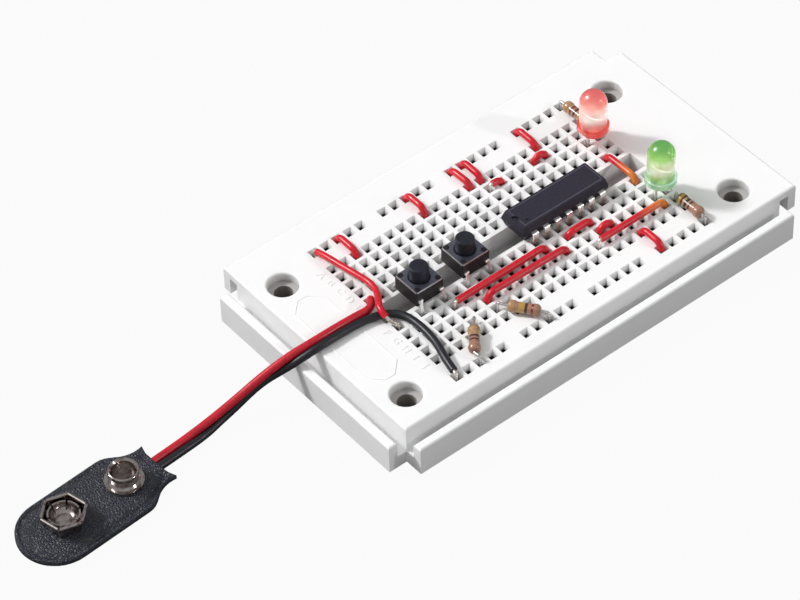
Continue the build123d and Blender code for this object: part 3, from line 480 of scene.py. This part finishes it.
base_black = black_moulding("switch_base_black", (0.015, 0.011, 0.013), 0.48, 0.15 * MM)
button_black = black_moulding("switch_button_black", (0.013, 0.014, 0.022), 0.42, 0.12 * MM)
spring_steel = metal("spring_steel", (0.7, 0.69, 0.66), 0.06, 0.6 * MM, (0.2, 0.3))
leg_silver = metal("leg_silver", (0.9, 0.88, 0.86), 0.06, 0.4 * MM, (0.34, 0.5))
for switch, middle_x in SWITCH_X.items():
    dress(f"{switch}_base", base_black)
    dress(f"{switch}_plunger", button_black)
    dress(f"{switch}_cover_plate", switch_plate(f"{switch}_plate", middle_x))
    dress(f"{switch}_contact_dome", spring_steel)
    dress(f"{switch}_terminals", leg_silver)
print("dressed", len(SWITCH_X), "switches")

# %% [markdown]
# ### The lamps
# A diffused lamp scatters its own light inside tinted epoxy.  Seen from outside, the dome is
# the deepest colour, the middle of the body is pale where the chip of light sits behind it,
# and the flange is bright at its rim.  Height above the board is enough to tell those zones
# apart, so a colour ramp along Z sets both the tint and the glow, and a clear coat gives
# the polished skin.  One thin bright line across the near face is a painted highlight, made
# to glow and faded out away from that face.

# %% Lamp finishes
LAMP_COLUMN = 21.5
LENS_HEIGHT = 8.6 * MM
HIGHLIGHT_LINE_HEIGHT = 4.4 * MM
HIGHLIGHT_LINE_TILT = (0.32, 0.26)
HIGHLIGHT_LINE_REACH, HIGHLIGHT_LINE_CORE = 0.2 * MM, 0.03 * MM
NEAR_FACE = (-0.61, -0.79)
NEAR_FACE_START, NEAR_FACE_END = 1.3 * MM, 2.1 * MM
HIGHLIGHT_LINE_SHARE = 0.85


def lamp_lens(name, row, bottom, tints, glows, highlight_colour):
    """Glowing tinted epoxy, tints and glows from bottom to top, with a painted highlight on its
    near face.
    """
    finish = Finish(name, 0.3)
    middle = tie_point(row, LAMP_COLUMN)
    x, y, z = finish.axes((middle.x, middle.y, bottom))
    level = finish.span(z, 0.0, LENS_HEIGHT)
    finish.colour(finish.ramp(level, tints, "EASE"))
    glow = finish.ramp(level, glows, "EASE")
    # Painted highlight: a thin glowing line, faded in towards the near face.
    across = finish.math("SUBTRACT", finish.math("MULTIPLY", x, HIGHLIGHT_LINE_TILT[0]),
                         finish.math("MULTIPLY", y, HIGHLIGHT_LINE_TILT[1]))
    off_line = finish.absolute(finish.math("SUBTRACT", finish.math("ADD", z, across),
                                           HIGHLIGHT_LINE_HEIGHT))
    front = finish.math("ADD", finish.math("MULTIPLY", x, NEAR_FACE[0]),
                        finish.math("MULTIPLY", y, NEAR_FACE[1]))
    line = finish.math("MULTIPLY", finish.span(off_line, HIGHLIGHT_LINE_REACH, HIGHLIGHT_LINE_CORE),
                       finish.span(front, NEAR_FACE_START, NEAR_FACE_END))
    line = finish.math("MULTIPLY", line, HIGHLIGHT_LINE_SHARE)
    finish.set(Emission_Color=finish.mix(line, glow, highlight_colour))
    finish.grain(0.6 * MM, 0.004 * MM)
    return finish.set(Emission_Strength=1.0, Transmission_Weight=0.85, IOR=1.5,
                      Coat_Weight=1.0, Coat_Roughness=0.08)


RED_BOTTOM, RED_HIGHLIGHT = 11.4 * MM, (0.95, 0.86, 0.84)
GREEN_BOTTOM, GREEN_HIGHLIGHT = 11.8 * MM, (0.8, 0.86, 0.72)
red_tints = [(0.0, (0.7, 0.09, 0.07)), (0.11, (0.7, 0.09, 0.07)), (0.17, (0.9, 0.42, 0.36)),
             (0.42, (0.97, 0.84, 0.8)), (0.6, (0.94, 0.56, 0.5)), (0.8, (0.87, 0.26, 0.22)),
             (1.0, (0.76, 0.1, 0.1))]
red_glows = [(0.0, (0.18, 0.015, 0.01)), (0.11, (0.18, 0.015, 0.01)), (0.2, (0.2, 0.06, 0.05)),
             (0.42, (0.33, 0.32, 0.3)), (0.6, (0.25, 0.14, 0.13)), (0.8, (0.2, 0.038, 0.025)),
             (1.0, (0.1, 0.008, 0.01))]
dress("lamp_red_lens", lamp_lens("red_epoxy", "c", RED_BOTTOM, red_tints, red_glows, RED_HIGHLIGHT))
green_tints = [(0.0, (0.66, 0.86, 0.74)), (0.11, (0.66, 0.86, 0.74)), (0.17, (0.34, 0.6, 0.2)),
               (0.42, (0.77, 0.82, 0.7)), (0.6, (0.58, 0.74, 0.4)), (0.8, (0.18, 0.54, 0.07)),
               (1.0, (0.05, 0.36, 0.04))]
green_glows = [(0.0, (0.05, 0.1, 0.06)), (0.11, (0.05, 0.1, 0.06)), (0.2, (0.1, 0.16, 0.03)),
               (0.42, (0.28, 0.28, 0.24)), (0.6, (0.16, 0.18, 0.08)), (0.8, (0.05, 0.09, 0.01)),
               (1.0, (0.01, 0.04, 0.005))]
dress("lamp_green_lens", lamp_lens("green_epoxy", "h", GREEN_BOTTOM, green_tints, green_glows,
                                   GREEN_HIGHLIGHT))
lamp_tin = metal("lamp_lead_tin", (0.86, 0.84, 0.82), 0.08, 0.5 * MM, (0.22, 0.36))
for node in nodes:
    if node.startswith("lamp_") and node.endswith("_lead"):
        dress(node, lamp_tin)

# %% [markdown]
# ### The resistors
# Each resistor is dipped in tan lacquer and ringed with colour bands.  A band is a slice
# across the body's own axis, so the coordinates are first moved to the body's middle and
# turned along it.  A ramp with hard stops then paints the bands, and a slow noise nudges the
# position, because real bands wander a little.  A body does not lie quite on the line between
# its two tie points, so each entry also has a shift in millimetres and a swing in degrees.

# %% Resistor finishes
BODY_LENGTH = 5.8 * MM
BAND_WANDER = 0.14 * MM
TAN = (0.43, 0.25, 0.12)
OLIVE = (0.3, 0.2, 0.1)
PINK_TAN = (0.37, 0.19, 0.12)
GOLD = (0.45, 0.28, 0.06)
BROWN = (0.06, 0.018, 0.012)
RED_BROWN = (0.2, 0.012, 0.01)
BLACK = (0.012, 0.01, 0.01)
resistors = {
    "resistor_left_switch": (("i", 4), ("near", 2), (-0.75, -0.15), -5, [
        (0.0, OLIVE), (0.13, TAN), (0.43, BROWN), (0.51, PINK_TAN), (0.58, BROWN),
        (0.645, PINK_TAN)]),
    "resistor_right_switch": (("i", 6), ("near", 8), (0.1, -0.15), 2, [
        (0.0, TAN), (0.27, PINK_TAN), (0.34, GOLD), (0.53, BROWN), (0.61, PINK_TAN),
        (0.73, RED_BROWN), (0.8, PINK_TAN)]),
    # The olive stop at this body's end beside the green lamp is a painted tint of the lamp's
    # light.
    "resistor_green_lamp": (("i", 22), ("near", 22), (-0.25, -0.2), 0, [
        (0.0, OLIVE), (0.14, GOLD), (0.22, BROWN), (0.28, TAN), (0.36, BLACK), (0.45, PINK_TAN),
        (0.52, BROWN), (0.58, PINK_TAN)]),
    "resistor_red_lamp": (("b", 22), ("far", 22), (0.1, -0.28), 0, [
        (0.0, PINK_TAN), (0.2, GOLD), (0.3, PINK_TAN), (0.42, BROWN), (0.5, PINK_TAN),
        (0.58, RED_BROWN), (0.66, TAN)])}


def lacquer(name, start, end, shift, swing, bands):
    """Bands across a resistor's body; a band is where it starts along the body and its colour."""
    finish = Finish(name, 0.28)
    along = end - start
    middle = (start + end) / 2 + Vector((*shift, 0)) * MM
    turn = math.atan2(along.y, along.x) + math.radians(swing)
    wander = finish.math("MULTIPLY", finish.math("SUBTRACT", finish.noise(1.1 * MM), 0.5),
                         BAND_WANDER)
    place = finish.span(finish.math("ADD", finish.axes(middle, turn)["X"], wander),
                        -BODY_LENGTH / 2, BODY_LENGTH / 2)
    rings = finish.ramp(place, bands, "CONSTANT")
    clouds = finish.ramp(finish.noise(0.7 * MM),
                         [(NOISE_LOW, (0.82, 0.8, 0.78)), (NOISE_HIGH, (1, 1, 1))])
    finish.colour(finish.mix(1.0, rings, clouds, "MULTIPLY"))
    finish.wear(0.2, 0.36, 0.6 * MM)
    finish.grain(0.35 * MM, 0.03 * MM)
    return finish.set(Coat_Weight=0.5, Coat_Roughness=0.12)


dull_tin = metal("resistor_lead_tin", (0.62, 0.6, 0.59), 0.12, 0.5 * MM, (0.2, 0.34))
for name, (start, end, *lie) in resistors.items():
    dress(f"{name}_body", lacquer(f"{name}_lacquer", tie_point(*start), tie_point(*end), *lie))
    dress(f"{name}_leads", dull_tin)
print("dressed", len(resistors), "resistors")

# %% [markdown]
# ### Wires and leads
# The link sleeves and the battery leads are coloured vinyl.  A sleeve is smooth and a little
# waxy, and its red drifts along the length.  The two sleeves that end beside the lit green
# lamp pick up its light and turn orange there, so their finish blends by distance, across the
# board for one and along it for the other.

# %% Vinyl
RED_VINYL = (0.6, 0.006, 0.02)
ORANGE_LIT = (0.72, 0.21, 0.035)


def vinyl(name, base, lit=None, rough=0.3):
    """Coloured vinyl; lit is (axis index, start, end) of a blend to the orange of lamp light."""
    finish = Finish(name, rough)
    shade = finish.drift(base, 0.14, 1.6 * MM)
    if lit:
        axis, start, end = lit
        shade = finish.mix(finish.span(finish.axes()[axis], start, end), shade, ORANGE_LIT)
    finish.colour(shade)
    finish.wear(rough - 0.06, rough + 0.1, 0.9 * MM)
    finish.grain(0.5 * MM, 0.01 * MM)
    return finish.set(Specular_IOR_Level=0.45)


sleeve_red = vinyl("sleeve_red", RED_VINYL)
near_lamp = {"link_channel_21": vinyl("sleeve_red_lit_across", RED_VINYL, (1, 1.5 * MM, -3 * MM)),
             "link_output_15_21": vinyl("sleeve_red_lit_along", RED_VINYL, (0, 19 * MM, 25 * MM))}
for node in nodes:
    if node.startswith(("link_", "strap_")) and node != "link_cores":
        dress(node, near_lamp.get(node, sleeve_red))
dress("link_cores", metal("tinned_copper", (0.86, 0.8, 0.74), 0.1, 0.5 * MM, (0.22, 0.38)))
dress("lead_tips", metal("lead_tip_tin", (0.84, 0.8, 0.76), 0.1, 0.4 * MM, (0.25, 0.4)))
red_lead.data.materials.append(vinyl("lead_red_vinyl", (0.52, 0.008, 0.024)))
black_lead.data.materials.append(vinyl("lead_black_vinyl", (0.009, 0.01, 0.014), rough=0.38))

# %% [markdown]
# ## The frayed end of the supply strap
# The strap's far end is stripped, and its fine strands splay before they enter the tie point.
# One strand is a curve, and the rest are copies of it that stand round the middle line and
# bow outwards, which is a job for Geometry Nodes: the count, the thickness and the splay
# are inputs that can be changed without touching the tree.

# %% Helpers for geometry trees
def tree_with(name, inputs):
    """A new geometry tree with a geometry input, named number inputs and a geometry output."""
    tree = bpy.data.node_groups.new(name, "GeometryNodeTree")
    tree.interface.new_socket("Geometry", in_out="INPUT", socket_type="NodeSocketGeometry")
    for label, kind, value in inputs:
        socket = tree.interface.new_socket(label, in_out="INPUT", socket_type=kind)
        socket.default_value = value
    tree.interface.new_socket("Geometry", in_out="OUTPUT", socket_type="NodeSocketGeometry")
    return tree, tree.nodes.new("NodeGroupInput"), tree.nodes.new("NodeGroupOutput")


def sweep(tree, made, path, section):
    """Sweep a section along a path, make the copies real, and give them as the tree's result."""
    swept = add_node(tree, "GeometryNodeCurveToMesh", Curve=path, Profile_Curve=section,
                     Fill_Caps=True)
    real = add_node(tree, "GeometryNodeRealizeInstances", Geometry=swept.outputs["Mesh"])
    tree.links.new(real.outputs["Geometry"], made.inputs["Geometry"])


def grown(name, source, tree, values, material):
    """Run a tree on an object and return its result as a plain mesh object."""
    modifier = source.modifiers.new(name, "NODES")
    modifier.node_group = tree
    for item in tree.interface.items_tree:
        if item.in_out == "INPUT" and item.name in values:
            modifier[item.identifier] = values[item.name]
    bpy.context.view_layer.update()
    evaluated = source.evaluated_get(bpy.context.evaluated_depsgraph_get())
    mesh = bpy.data.meshes.new_from_object(evaluated)
    bpy.data.objects.remove(source)
    mesh.materials.append(material)
    print(name, "has", len(mesh.polygons), "faces")
    return new_object(name, mesh)


# %% Splayed strands
BOW_TURN = 0.86 * math.pi
STRAND_FLATNESS = 0.7
strand_tin = metal("strand_tin", (0.6, 0.55, 0.5), 0.2, 0.3 * MM, (0.2, 0.32))
tree, given, made = tree_with("splayed_strands", [
    ("Strands", "NodeSocketInt", 11), ("Thickness", "NodeSocketFloat", 0.12 * MM),
    ("Ring", "NodeSocketFloat", 0.3 * MM), ("Splay", "NodeSocketFloat", 0.35 * MM)])
path = add_node(tree, "GeometryNodeResampleCurve", Curve=given.outputs["Geometry"], Count=14)
copies = add_node(tree, "GeometryNodeDuplicateElements", {"domain": "SPLINE"},
                  Geometry=path.outputs["Curve"], Amount=given.outputs["Strands"])
copy_number = copies.outputs["Duplicate Index"]
angle = calculate(tree, "MULTIPLY", calculate(
    tree, "DIVIDE", copy_number, given.outputs["Strands"]), math.tau)
along = add_node(tree, "GeometryNodeSplineParameter").outputs["Factor"]
bow = calculate(tree, "SINE", calculate(tree, "MULTIPLY", along, BOW_TURN))
uneven = add_node(tree, "FunctionNodeRandomValue", ID=copy_number, Seed=4,
                  Min=0.35, Max=1.0).outputs["Value"]
reach = calculate(tree, "MULTIPLY_ADD", calculate(tree, "MULTIPLY", bow, uneven),
                  given.outputs["Splay"], given.outputs["Ring"])
low_reach = calculate(tree, "MULTIPLY", reach, STRAND_FLATNESS)
offset = add_node(tree, "ShaderNodeCombineXYZ",
                  X=calculate(tree, "MULTIPLY", calculate(tree, "COSINE", angle), reach),
                  Y=calculate(tree, "MULTIPLY", calculate(tree, "SINE", angle), low_reach))
moved = add_node(tree, "GeometryNodeSetPosition", Geometry=copies.outputs["Geometry"],
                 Offset=offset.outputs["Vector"])
section = add_node(tree, "GeometryNodeCurvePrimitiveCircle", Resolution=8, Radius=calculate(
    tree, "MULTIPLY", given.outputs["Thickness"], 0.5))
sweep(tree, made, moved.outputs["Geometry"], section.outputs["Curve"])

strip_route = [Vector(p) * MM for p in [(-29.25, -1.9, 10.15), (-29.05, -2.5, 9.72),
                                        (-28.65, -3.05, 9.3), (-28.2, -3.6, 8.85),
                                        (-27.94, -3.81, 8.2)]]
strands = grown("strap_strands", new_curve("strap_strands_path", "POLY", strip_route), tree,
                {"Strands": 11, "Thickness": 0.13 * MM, "Ring": 0.26 * MM, "Splay": 0.3 * MM},
                strand_tin)
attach(strands, "board")

# %% [markdown]
# ## Raised marks on the board
# The mould leaves a thin raised outline round a bare label panel near the board's left end,
# and a plain letter beside each row.  A line that follows a path is again a tree: a small
# flat section swept round it, half sunk in the surface.

# %% Label outline
tree, given, made = tree_with("raised_line", [("Width", "NodeSocketFloat", 0.2 * MM),
                                              ("Height", "NodeSocketFloat", 0.08 * MM)])
section = add_node(tree, "GeometryNodeCurvePrimitiveCircle", Resolution=10, Radius=calculate(
    tree, "MULTIPLY", given.outputs["Width"], 0.5))
squeeze = calculate(tree, "DIVIDE", given.outputs["Height"], given.outputs["Width"])
scale = add_node(tree, "ShaderNodeCombineXYZ", X=1.0, Y=squeeze, Z=1.0).outputs["Vector"]
flat = add_node(tree, "GeometryNodeTransform", Geometry=section.outputs["Curve"], Scale=scale)
sweep(tree, made, given.outputs["Geometry"], flat.outputs["Geometry"])

PANEL_MIDDLE = Vector((-36.5, 0, BOARD_TOP / MM))
PANEL_HALF_X, PANEL_HALF_Y, PANEL_CORNER = 3.3, 11.9, 2.3
inner_x, inner_y = PANEL_HALF_X - PANEL_CORNER, PANEL_HALF_Y - PANEL_CORNER
panel = [(-inner_x, PANEL_HALF_Y), (-PANEL_HALF_X, inner_y), (-PANEL_HALF_X, -inner_y),
         (-inner_x, -PANEL_HALF_Y), (inner_x, -PANEL_HALF_Y), (PANEL_HALF_X, -inner_y),
         (PANEL_HALF_X, inner_y), (inner_x, PANEL_HALF_Y)]
outline = [(PANEL_MIDDLE + Vector((px, py, 0))) * MM for px, py in panel]
label_path = new_curve("label_path", "POLY", outline)
label_path.data.splines[0].use_cyclic_u = True
label_outline = grown("label_outline", label_path, tree,
                      {"Width": 0.34 * MM, "Height": 0.18 * MM}, mark_white)
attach(label_outline, "board")

# %% Row letters
LETTER_HEIGHT = 2.0 * MM
LETTER_HALF_DEPTH = 0.06 * MM
LETTER_LIFT = 0.03 * MM
LETTER_X = COLUMN_0 - 2.6 * MM
letters = bmesh.new()
for row in ROWS:
    data = bpy.data.curves.new("row_letter", "FONT")
    data.body = row.upper()
    data.size = LETTER_HEIGHT
    data.align_x = "CENTER"
    data.align_y = "CENTER"
    data.extrude = LETTER_HALF_DEPTH
    word = new_object("row_letter", data)
    bpy.context.view_layer.update()
    shape = bpy.data.meshes.new_from_object(
        word.evaluated_get(bpy.context.evaluated_depsgraph_get()))
    place = Vector((LETTER_X, tie_point(row, 0).y, BOARD_TOP + LETTER_LIFT))
    shape.transform(Matrix.Translation(place) @ Matrix.Rotation(-math.pi / 2, 4, "Z"))
    letters.from_mesh(shape)
    bpy.data.objects.remove(word)
letter_mesh = bpy.data.meshes.new("row_letters")
letters.to_mesh(letter_mesh)
letters.free()
letter_mesh.materials.append(mark_white)
row_letters = new_object("row_letters", letter_mesh)
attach(row_letters, "board")
print("ten row letters,", len(letter_mesh.polygons), "faces")

# %% [markdown]
# ## The battery snap
# The snap's cover is two sheets of grained vinyl welded together at the rim over a stiff
# plate.  The weld leaves a pressed valley just inside a raised bead, and the sheet then swells
# over the plate.  The outline is drawn once, in millimetres.  A sheet is a fine grid inside it,
# and the height of each grid point is looked up from its distance to the edge, so the section
# is the same all round.  Insetting one face over and over would tangle at the pointed ears.
# Where the two leads leave between the sheets, both sheets bulge to let them through.

# %% Outline of the cover
SNAP_HALF = 7.05
ROUND_MIDDLE_X = -8.0
STRAIGHT_END = 5.8
NECK = (9.4, 5.35)
EAR_TIP = (13.75, 4.5)
HOLLOW_X = 12.75
STRAIGHT_PULL, NECK_PULL_IN = Vector((1.6, 0, 0)), Vector((1.1, -0.75, 0))
NECK_PULL_OUT, TIP_PULL = Vector((1.0, -0.68, 0)), Vector((1.9, 0.35, 0))
ROUND_STEPS, STRAIGHT_STEPS, HOLLOW_STEPS, CURVE_POINTS = 28, 10, 12, 9


def side_curve():
    """The near side from the end of the straight part, round the shoulder, to the ear's tip."""
    straight = Vector((STRAIGHT_END, SNAP_HALF, 0))
    neck = Vector((*NECK, 0))
    tip = Vector((*EAR_TIP, 0))
    first = interpolate_bezier(straight, straight + STRAIGHT_PULL, neck - NECK_PULL_IN, neck,
                               CURVE_POINTS)
    second = interpolate_bezier(neck, neck + NECK_PULL_OUT, tip - TIP_PULL, tip, CURVE_POINTS)
    return first + second[1:]


def straight_side(start, end, y):
    """Points along a straight side, without its two ends."""
    return [(start + (end - start) * step / STRAIGHT_STEPS, y)
            for step in range(1, STRAIGHT_STEPS)]


def snap_outline():
    """The whole outline, anticlockwise from the far end of the round end."""
    points = []
    for step in range(ROUND_STEPS + 1):
        angle = math.pi / 2 + math.pi * step / ROUND_STEPS
        points.append((ROUND_MIDDLE_X + SNAP_HALF * math.cos(angle), SNAP_HALF * math.sin(angle)))
    points += straight_side(ROUND_MIDDLE_X, STRAIGHT_END, -SNAP_HALF)
    side = side_curve()
    points += [(p.x, -p.y) for p in side]
    for step in range(1, HOLLOW_STEPS):
        share = step / HOLLOW_STEPS
        y = EAR_TIP[1] * (2 * share - 1)
        points.append((EAR_TIP[0] - (EAR_TIP[0] - HOLLOW_X) * math.sin(math.pi * share), y))
    points += [(p.x, p.y) for p in reversed(side)]
    return points + straight_side(STRAIGHT_END, ROUND_MIDDLE_X, SNAP_HALF)


# %% Cover sheets
SHEET_STEP = 0.22 * MM
GRID_CLEARANCE = 0.4 * SHEET_STEP
MESH_TOLERANCE, WELD_DISTANCE = 1e-7, 1e-6
TOP_PROFILE = [(0, 1.5), (0.12, 1.68), (0.35, 1.76), (0.6, 1.68), (0.85, 1.46), (1.1, 1.5),
               (1.5, 1.88), (2.0, 2.12), (2.6, 2.18)]
BOTTOM_PROFILE = [(0, 0.7), (0.12, 0.5), (0.5, 0.42), (0.9, 0.5), (1.3, 0.1), (1.7, 0.0)]
BULGE_START_X, BULGE_RUN_X = 9.5, 2.5
BULGE_HALF_Y, BULGE_RUN_Y = 2.9, 1.6
BULGE_TOP, BULGE_BOTTOM = 2.15, 0.02


def sheet(outline, profile, upward):
    """A sheet inside an outline in millimetres; its height follows its distance to the edge."""
    corners = np.array(outline) * MM
    after = np.roll(corners, -1, axis=0)
    low, high = corners.min(axis=0), corners.max(axis=0)
    grid = np.array([(x, y) for x in np.arange(low[0], high[0], SHEET_STEP)
                     for y in np.arange(low[1], high[1], SHEET_STEP)])

    def edge_distance(points):
        edge = after - corners
        share = ((points[:, None] - corners) * edge).sum(2) / (edge ** 2).sum(1)
        foot = corners + np.clip(share, 0, 1)[..., None] * edge
        return np.linalg.norm(points[:, None] - foot, axis=2).min(axis=1)

    grid = grid[edge_distance(grid) > GRID_CLEARANCE]
    ring = [(index, (index + 1) % len(corners)) for index in range(len(corners))]
    flat = [Vector(p) for p in np.vstack([corners, grid])]
    points, _, faces, *_ = delaunay_2d_cdt(flat, ring, [], 1, MESH_TOLERANCE)
    spots = np.array(points)
    steps, heights = zip(*profile)
    z = np.interp(edge_distance(spots) / MM, steps, heights)
    bulge = np.clip(spots[:, 0] / MM - BULGE_START_X, 0, BULGE_RUN_X) / BULGE_RUN_X
    bulge *= np.clip((BULGE_HALF_Y - abs(spots[:, 1]) / MM) / BULGE_RUN_Y, 0, 1)
    bulge = bulge * bulge * (3 - 2 * bulge)
    z = (z * (1 - bulge) + (BULGE_TOP if upward else BULGE_BOTTOM) * bulge) * MM
    if not upward:
        faces = [tuple(reversed(face)) for face in faces]
    return [(*spot, height) for spot, height in zip(spots, z)], faces


outline = snap_outline()
corner_count = len(outline)
cover_mesh = bpy.data.meshes.new("battery_snap_cover")
top_vertices, top_faces = sheet(outline, TOP_PROFILE, True)
bottom_vertices, bottom_faces = sheet(outline, BOTTOM_PROFILE, False)
bottom_start = len(top_vertices)
rim_start = bottom_start + len(bottom_vertices)
vertices = (top_vertices + bottom_vertices
            + bottom_vertices[:corner_count] + top_vertices[:corner_count])
faces = top_faces + [tuple(bottom_start + index for index in face) for face in bottom_faces]
for index in range(corner_count):
    low, low_after = rim_start + index, rim_start + (index + 1) % corner_count
    faces.append((low, low_after, low_after + corner_count, low + corner_count))
cover_mesh.from_pydata(vertices, [], faces)
builder = bmesh.new()
builder.from_mesh(cover_mesh)
bmesh.ops.remove_doubles(builder, verts=builder.verts, dist=WELD_DISTANCE)
bmesh.ops.recalc_face_normals(builder, faces=builder.faces)
for face in builder.faces:
    face.smooth = True
open_edges = sum(not edge.is_manifold for edge in builder.edges)
builder.to_mesh(cover_mesh)
builder.free()
cover_mesh.transform(snap_place)
snap_cover = new_object("battery_snap_cover", cover_mesh)
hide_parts("snap_cover")
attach(snap_cover, "board")
print("snap cover has", len(cover_mesh.polygons), "faces and", open_edges, "open edges")

# %% Grained vinyl and nickel
PEBBLE_SIZE, PEBBLE_EDGE = 0.5 * MM, 0.32
CREASE_WARP = (0.3 * MM,) * 3
FINE_SHARE = 0.8
GRAIN_HEIGHT = 0.12 * MM
TARNISH_FROM, TARNISH_TO = 0.54, 0.7
grained = Finish("snap_grained_vinyl", 0.36)
warped = calculate(grained.tree, "MULTIPLY_ADD", grained.noise(0.6 * MM, detail=4.0),
                   CREASE_WARP, grained.coordinate, kind="ShaderNodeVectorMath")
creases = add_node(grained.tree, "ShaderNodeTexVoronoi", {"feature": "DISTANCE_TO_EDGE"},
                   Vector=warped, Scale=1 / PEBBLE_SIZE)
pebble = grained.span(creases.outputs["Distance"], 0.0, PEBBLE_EDGE)
blue_black = grained.drift((0.015, 0.019, 0.042), 0.35, 1.1 * MM)
# Painted shade: the creases between the pebbles are coloured near black.
grained.colour(grained.mix(pebble, (0.003, 0.004, 0.008), blue_black))
grained.wear(0.3, 0.5, 0.5 * MM)
fine_relief = grained.math("MULTIPLY", grained.noise(0.16 * MM, detail=4.0), FINE_SHARE)
grained.bump(grained.math("ADD", pebble, fine_relief), GRAIN_HEIGHT)
cover_mesh.materials.append(grained.set(Specular_IOR_Level=0.7))
dress("snap_fibre_plate", metal("fibre_board", (0.3, 0.18, 0.1), 0.1, 0.8 * MM, (0.6, 0.7)))


def nickel(name):
    """Bright nickel with patches of darker tarnish."""
    finish = Finish(name, 0.16, metallic=1.0)
    bright = finish.drift((0.4, 0.36, 0.345), 0.16, 0.8 * MM)
    tarnish = finish.span(finish.noise(1.2 * MM, detail=5.0), TARNISH_FROM, TARNISH_TO)
    finish.colour(finish.mix(tarnish, bright, (0.15, 0.11, 0.1)))
    finish.wear(0.1, 0.22, 0.7 * MM)
    finish.grain(0.5 * MM, 0.012 * MM)
    return finish.material


for node in ("snap_socket", "snap_stud"):
    dress(node, nickel(f"{node}_nickel"))

# %% [markdown]
# ## Floor and light
# The trainer lies on a wide bench that takes a soft shadow.  The bench's own colour is a dark
# grey, which is what the bright metal mirrors.  Rays straight from the camera, and those that
# pass through a lamp's lens, see mostly plain white instead, so the ground fades out behind
# the object without any extra light falling on it.

# %% Floor
FLOOR_HALF = 1.5
FLOOR_DROP = 0.05 * MM
WHITE_SHARE = 0.95
floor_data = bpy.data.meshes.new("bench")
floor_data.from_pydata([(-FLOOR_HALF, -FLOOR_HALF, 0), (FLOOR_HALF, -FLOOR_HALF, 0),
                        (FLOOR_HALF, FLOOR_HALF, 0), (-FLOOR_HALF, FLOOR_HALF, 0)],
                       [], [(0, 1, 2, 3)])
floor = new_object("bench", floor_data)
floor.location.z = -FLOOR_DROP

card = Finish("white_card", 0.9)
rays = add_node(card.tree, "ShaderNodeLightPath").outputs
sees_white = card.math("MAXIMUM", rays["Is Camera Ray"], rays["Is Transmission Ray"])
plain_white = add_node(card.tree, "ShaderNodeEmission")
blend = add_node(card.tree, "ShaderNodeMixShader",
                 Fac=card.math("MULTIPLY", sees_white, WHITE_SHARE))
output = card.tree.nodes["Material Output"]
for source, target in ((card.shader, blend.inputs[1]), (plain_white, blend.inputs[2]),
                       (blend, output.inputs["Surface"])):
    card.tree.links.new(source.outputs[0], target)
floor_data.materials.append(card.set(Base_Color=(0.16, 0.16, 0.165)))

# %% [markdown]
# ### Lights
# A sky that is brighter overhead and towards the key fills every face a little, and the ones
# turned from the key least.  The key comes in from the left and a little behind, about 40
# degrees up, so the funnels' near walls catch it and their far walls turn grey.  A wide spill
# round the key gives metal broad highlights and softens the shadows' edges.  A small spark
# from the near right puts the highlights on the lamps' domes.  A sun lamp suits such a small
# object: its shadows have the same softness everywhere.

# %% Sky and suns
SKY_SLOPE = (-0.08, -0.02, 0.26)
SKY_MIDDLE, SKY_LEAST, SKY_SEEN = 0.29, 0.05, 1.0
world = bpy.data.worlds.new("studio")
bpy.context.scene.world = world
world.use_nodes = True
tree = world.node_tree
direction = add_node(tree, "ShaderNodeTexCoord").outputs["Generated"]
towards_key = calculate(tree, "DOT_PRODUCT", direction, SKY_SLOPE, kind="ShaderNodeVectorMath")
level = calculate(tree, "MAXIMUM", calculate(tree, "ADD", towards_key, SKY_MIDDLE), SKY_LEAST)
camera_rays = add_node(tree, "ShaderNodeLightPath").outputs["Is Camera Ray"]
strength = add_node(tree, "ShaderNodeMix", Factor=camera_rays, A=level, B=SKY_SEEN)
feed_by_name(tree, tree.nodes["Background"],
             {"Color": (1, 1, 1), "Strength": strength.outputs["Result"]})

KEY_SOURCE = (-0.9, 1.12, 1.25)
for name, energy, spread, source in (("key", 2.05, 8, KEY_SOURCE),
                                     ("key_spill", 0.7, 40, KEY_SOURCE),
                                     ("spark", 0.6, 3, (0.51, -0.71, 0.47))):
    sun_data = bpy.data.lights.new(name, "SUN")
    sun_data.energy = energy
    sun_data.angle = math.radians(spread)
    sun = new_object(name, sun_data)
    sun.rotation_mode = "QUATERNION"
    sun.rotation_quaternion = (-Vector(source)).to_track_quat("-Z", "Y")
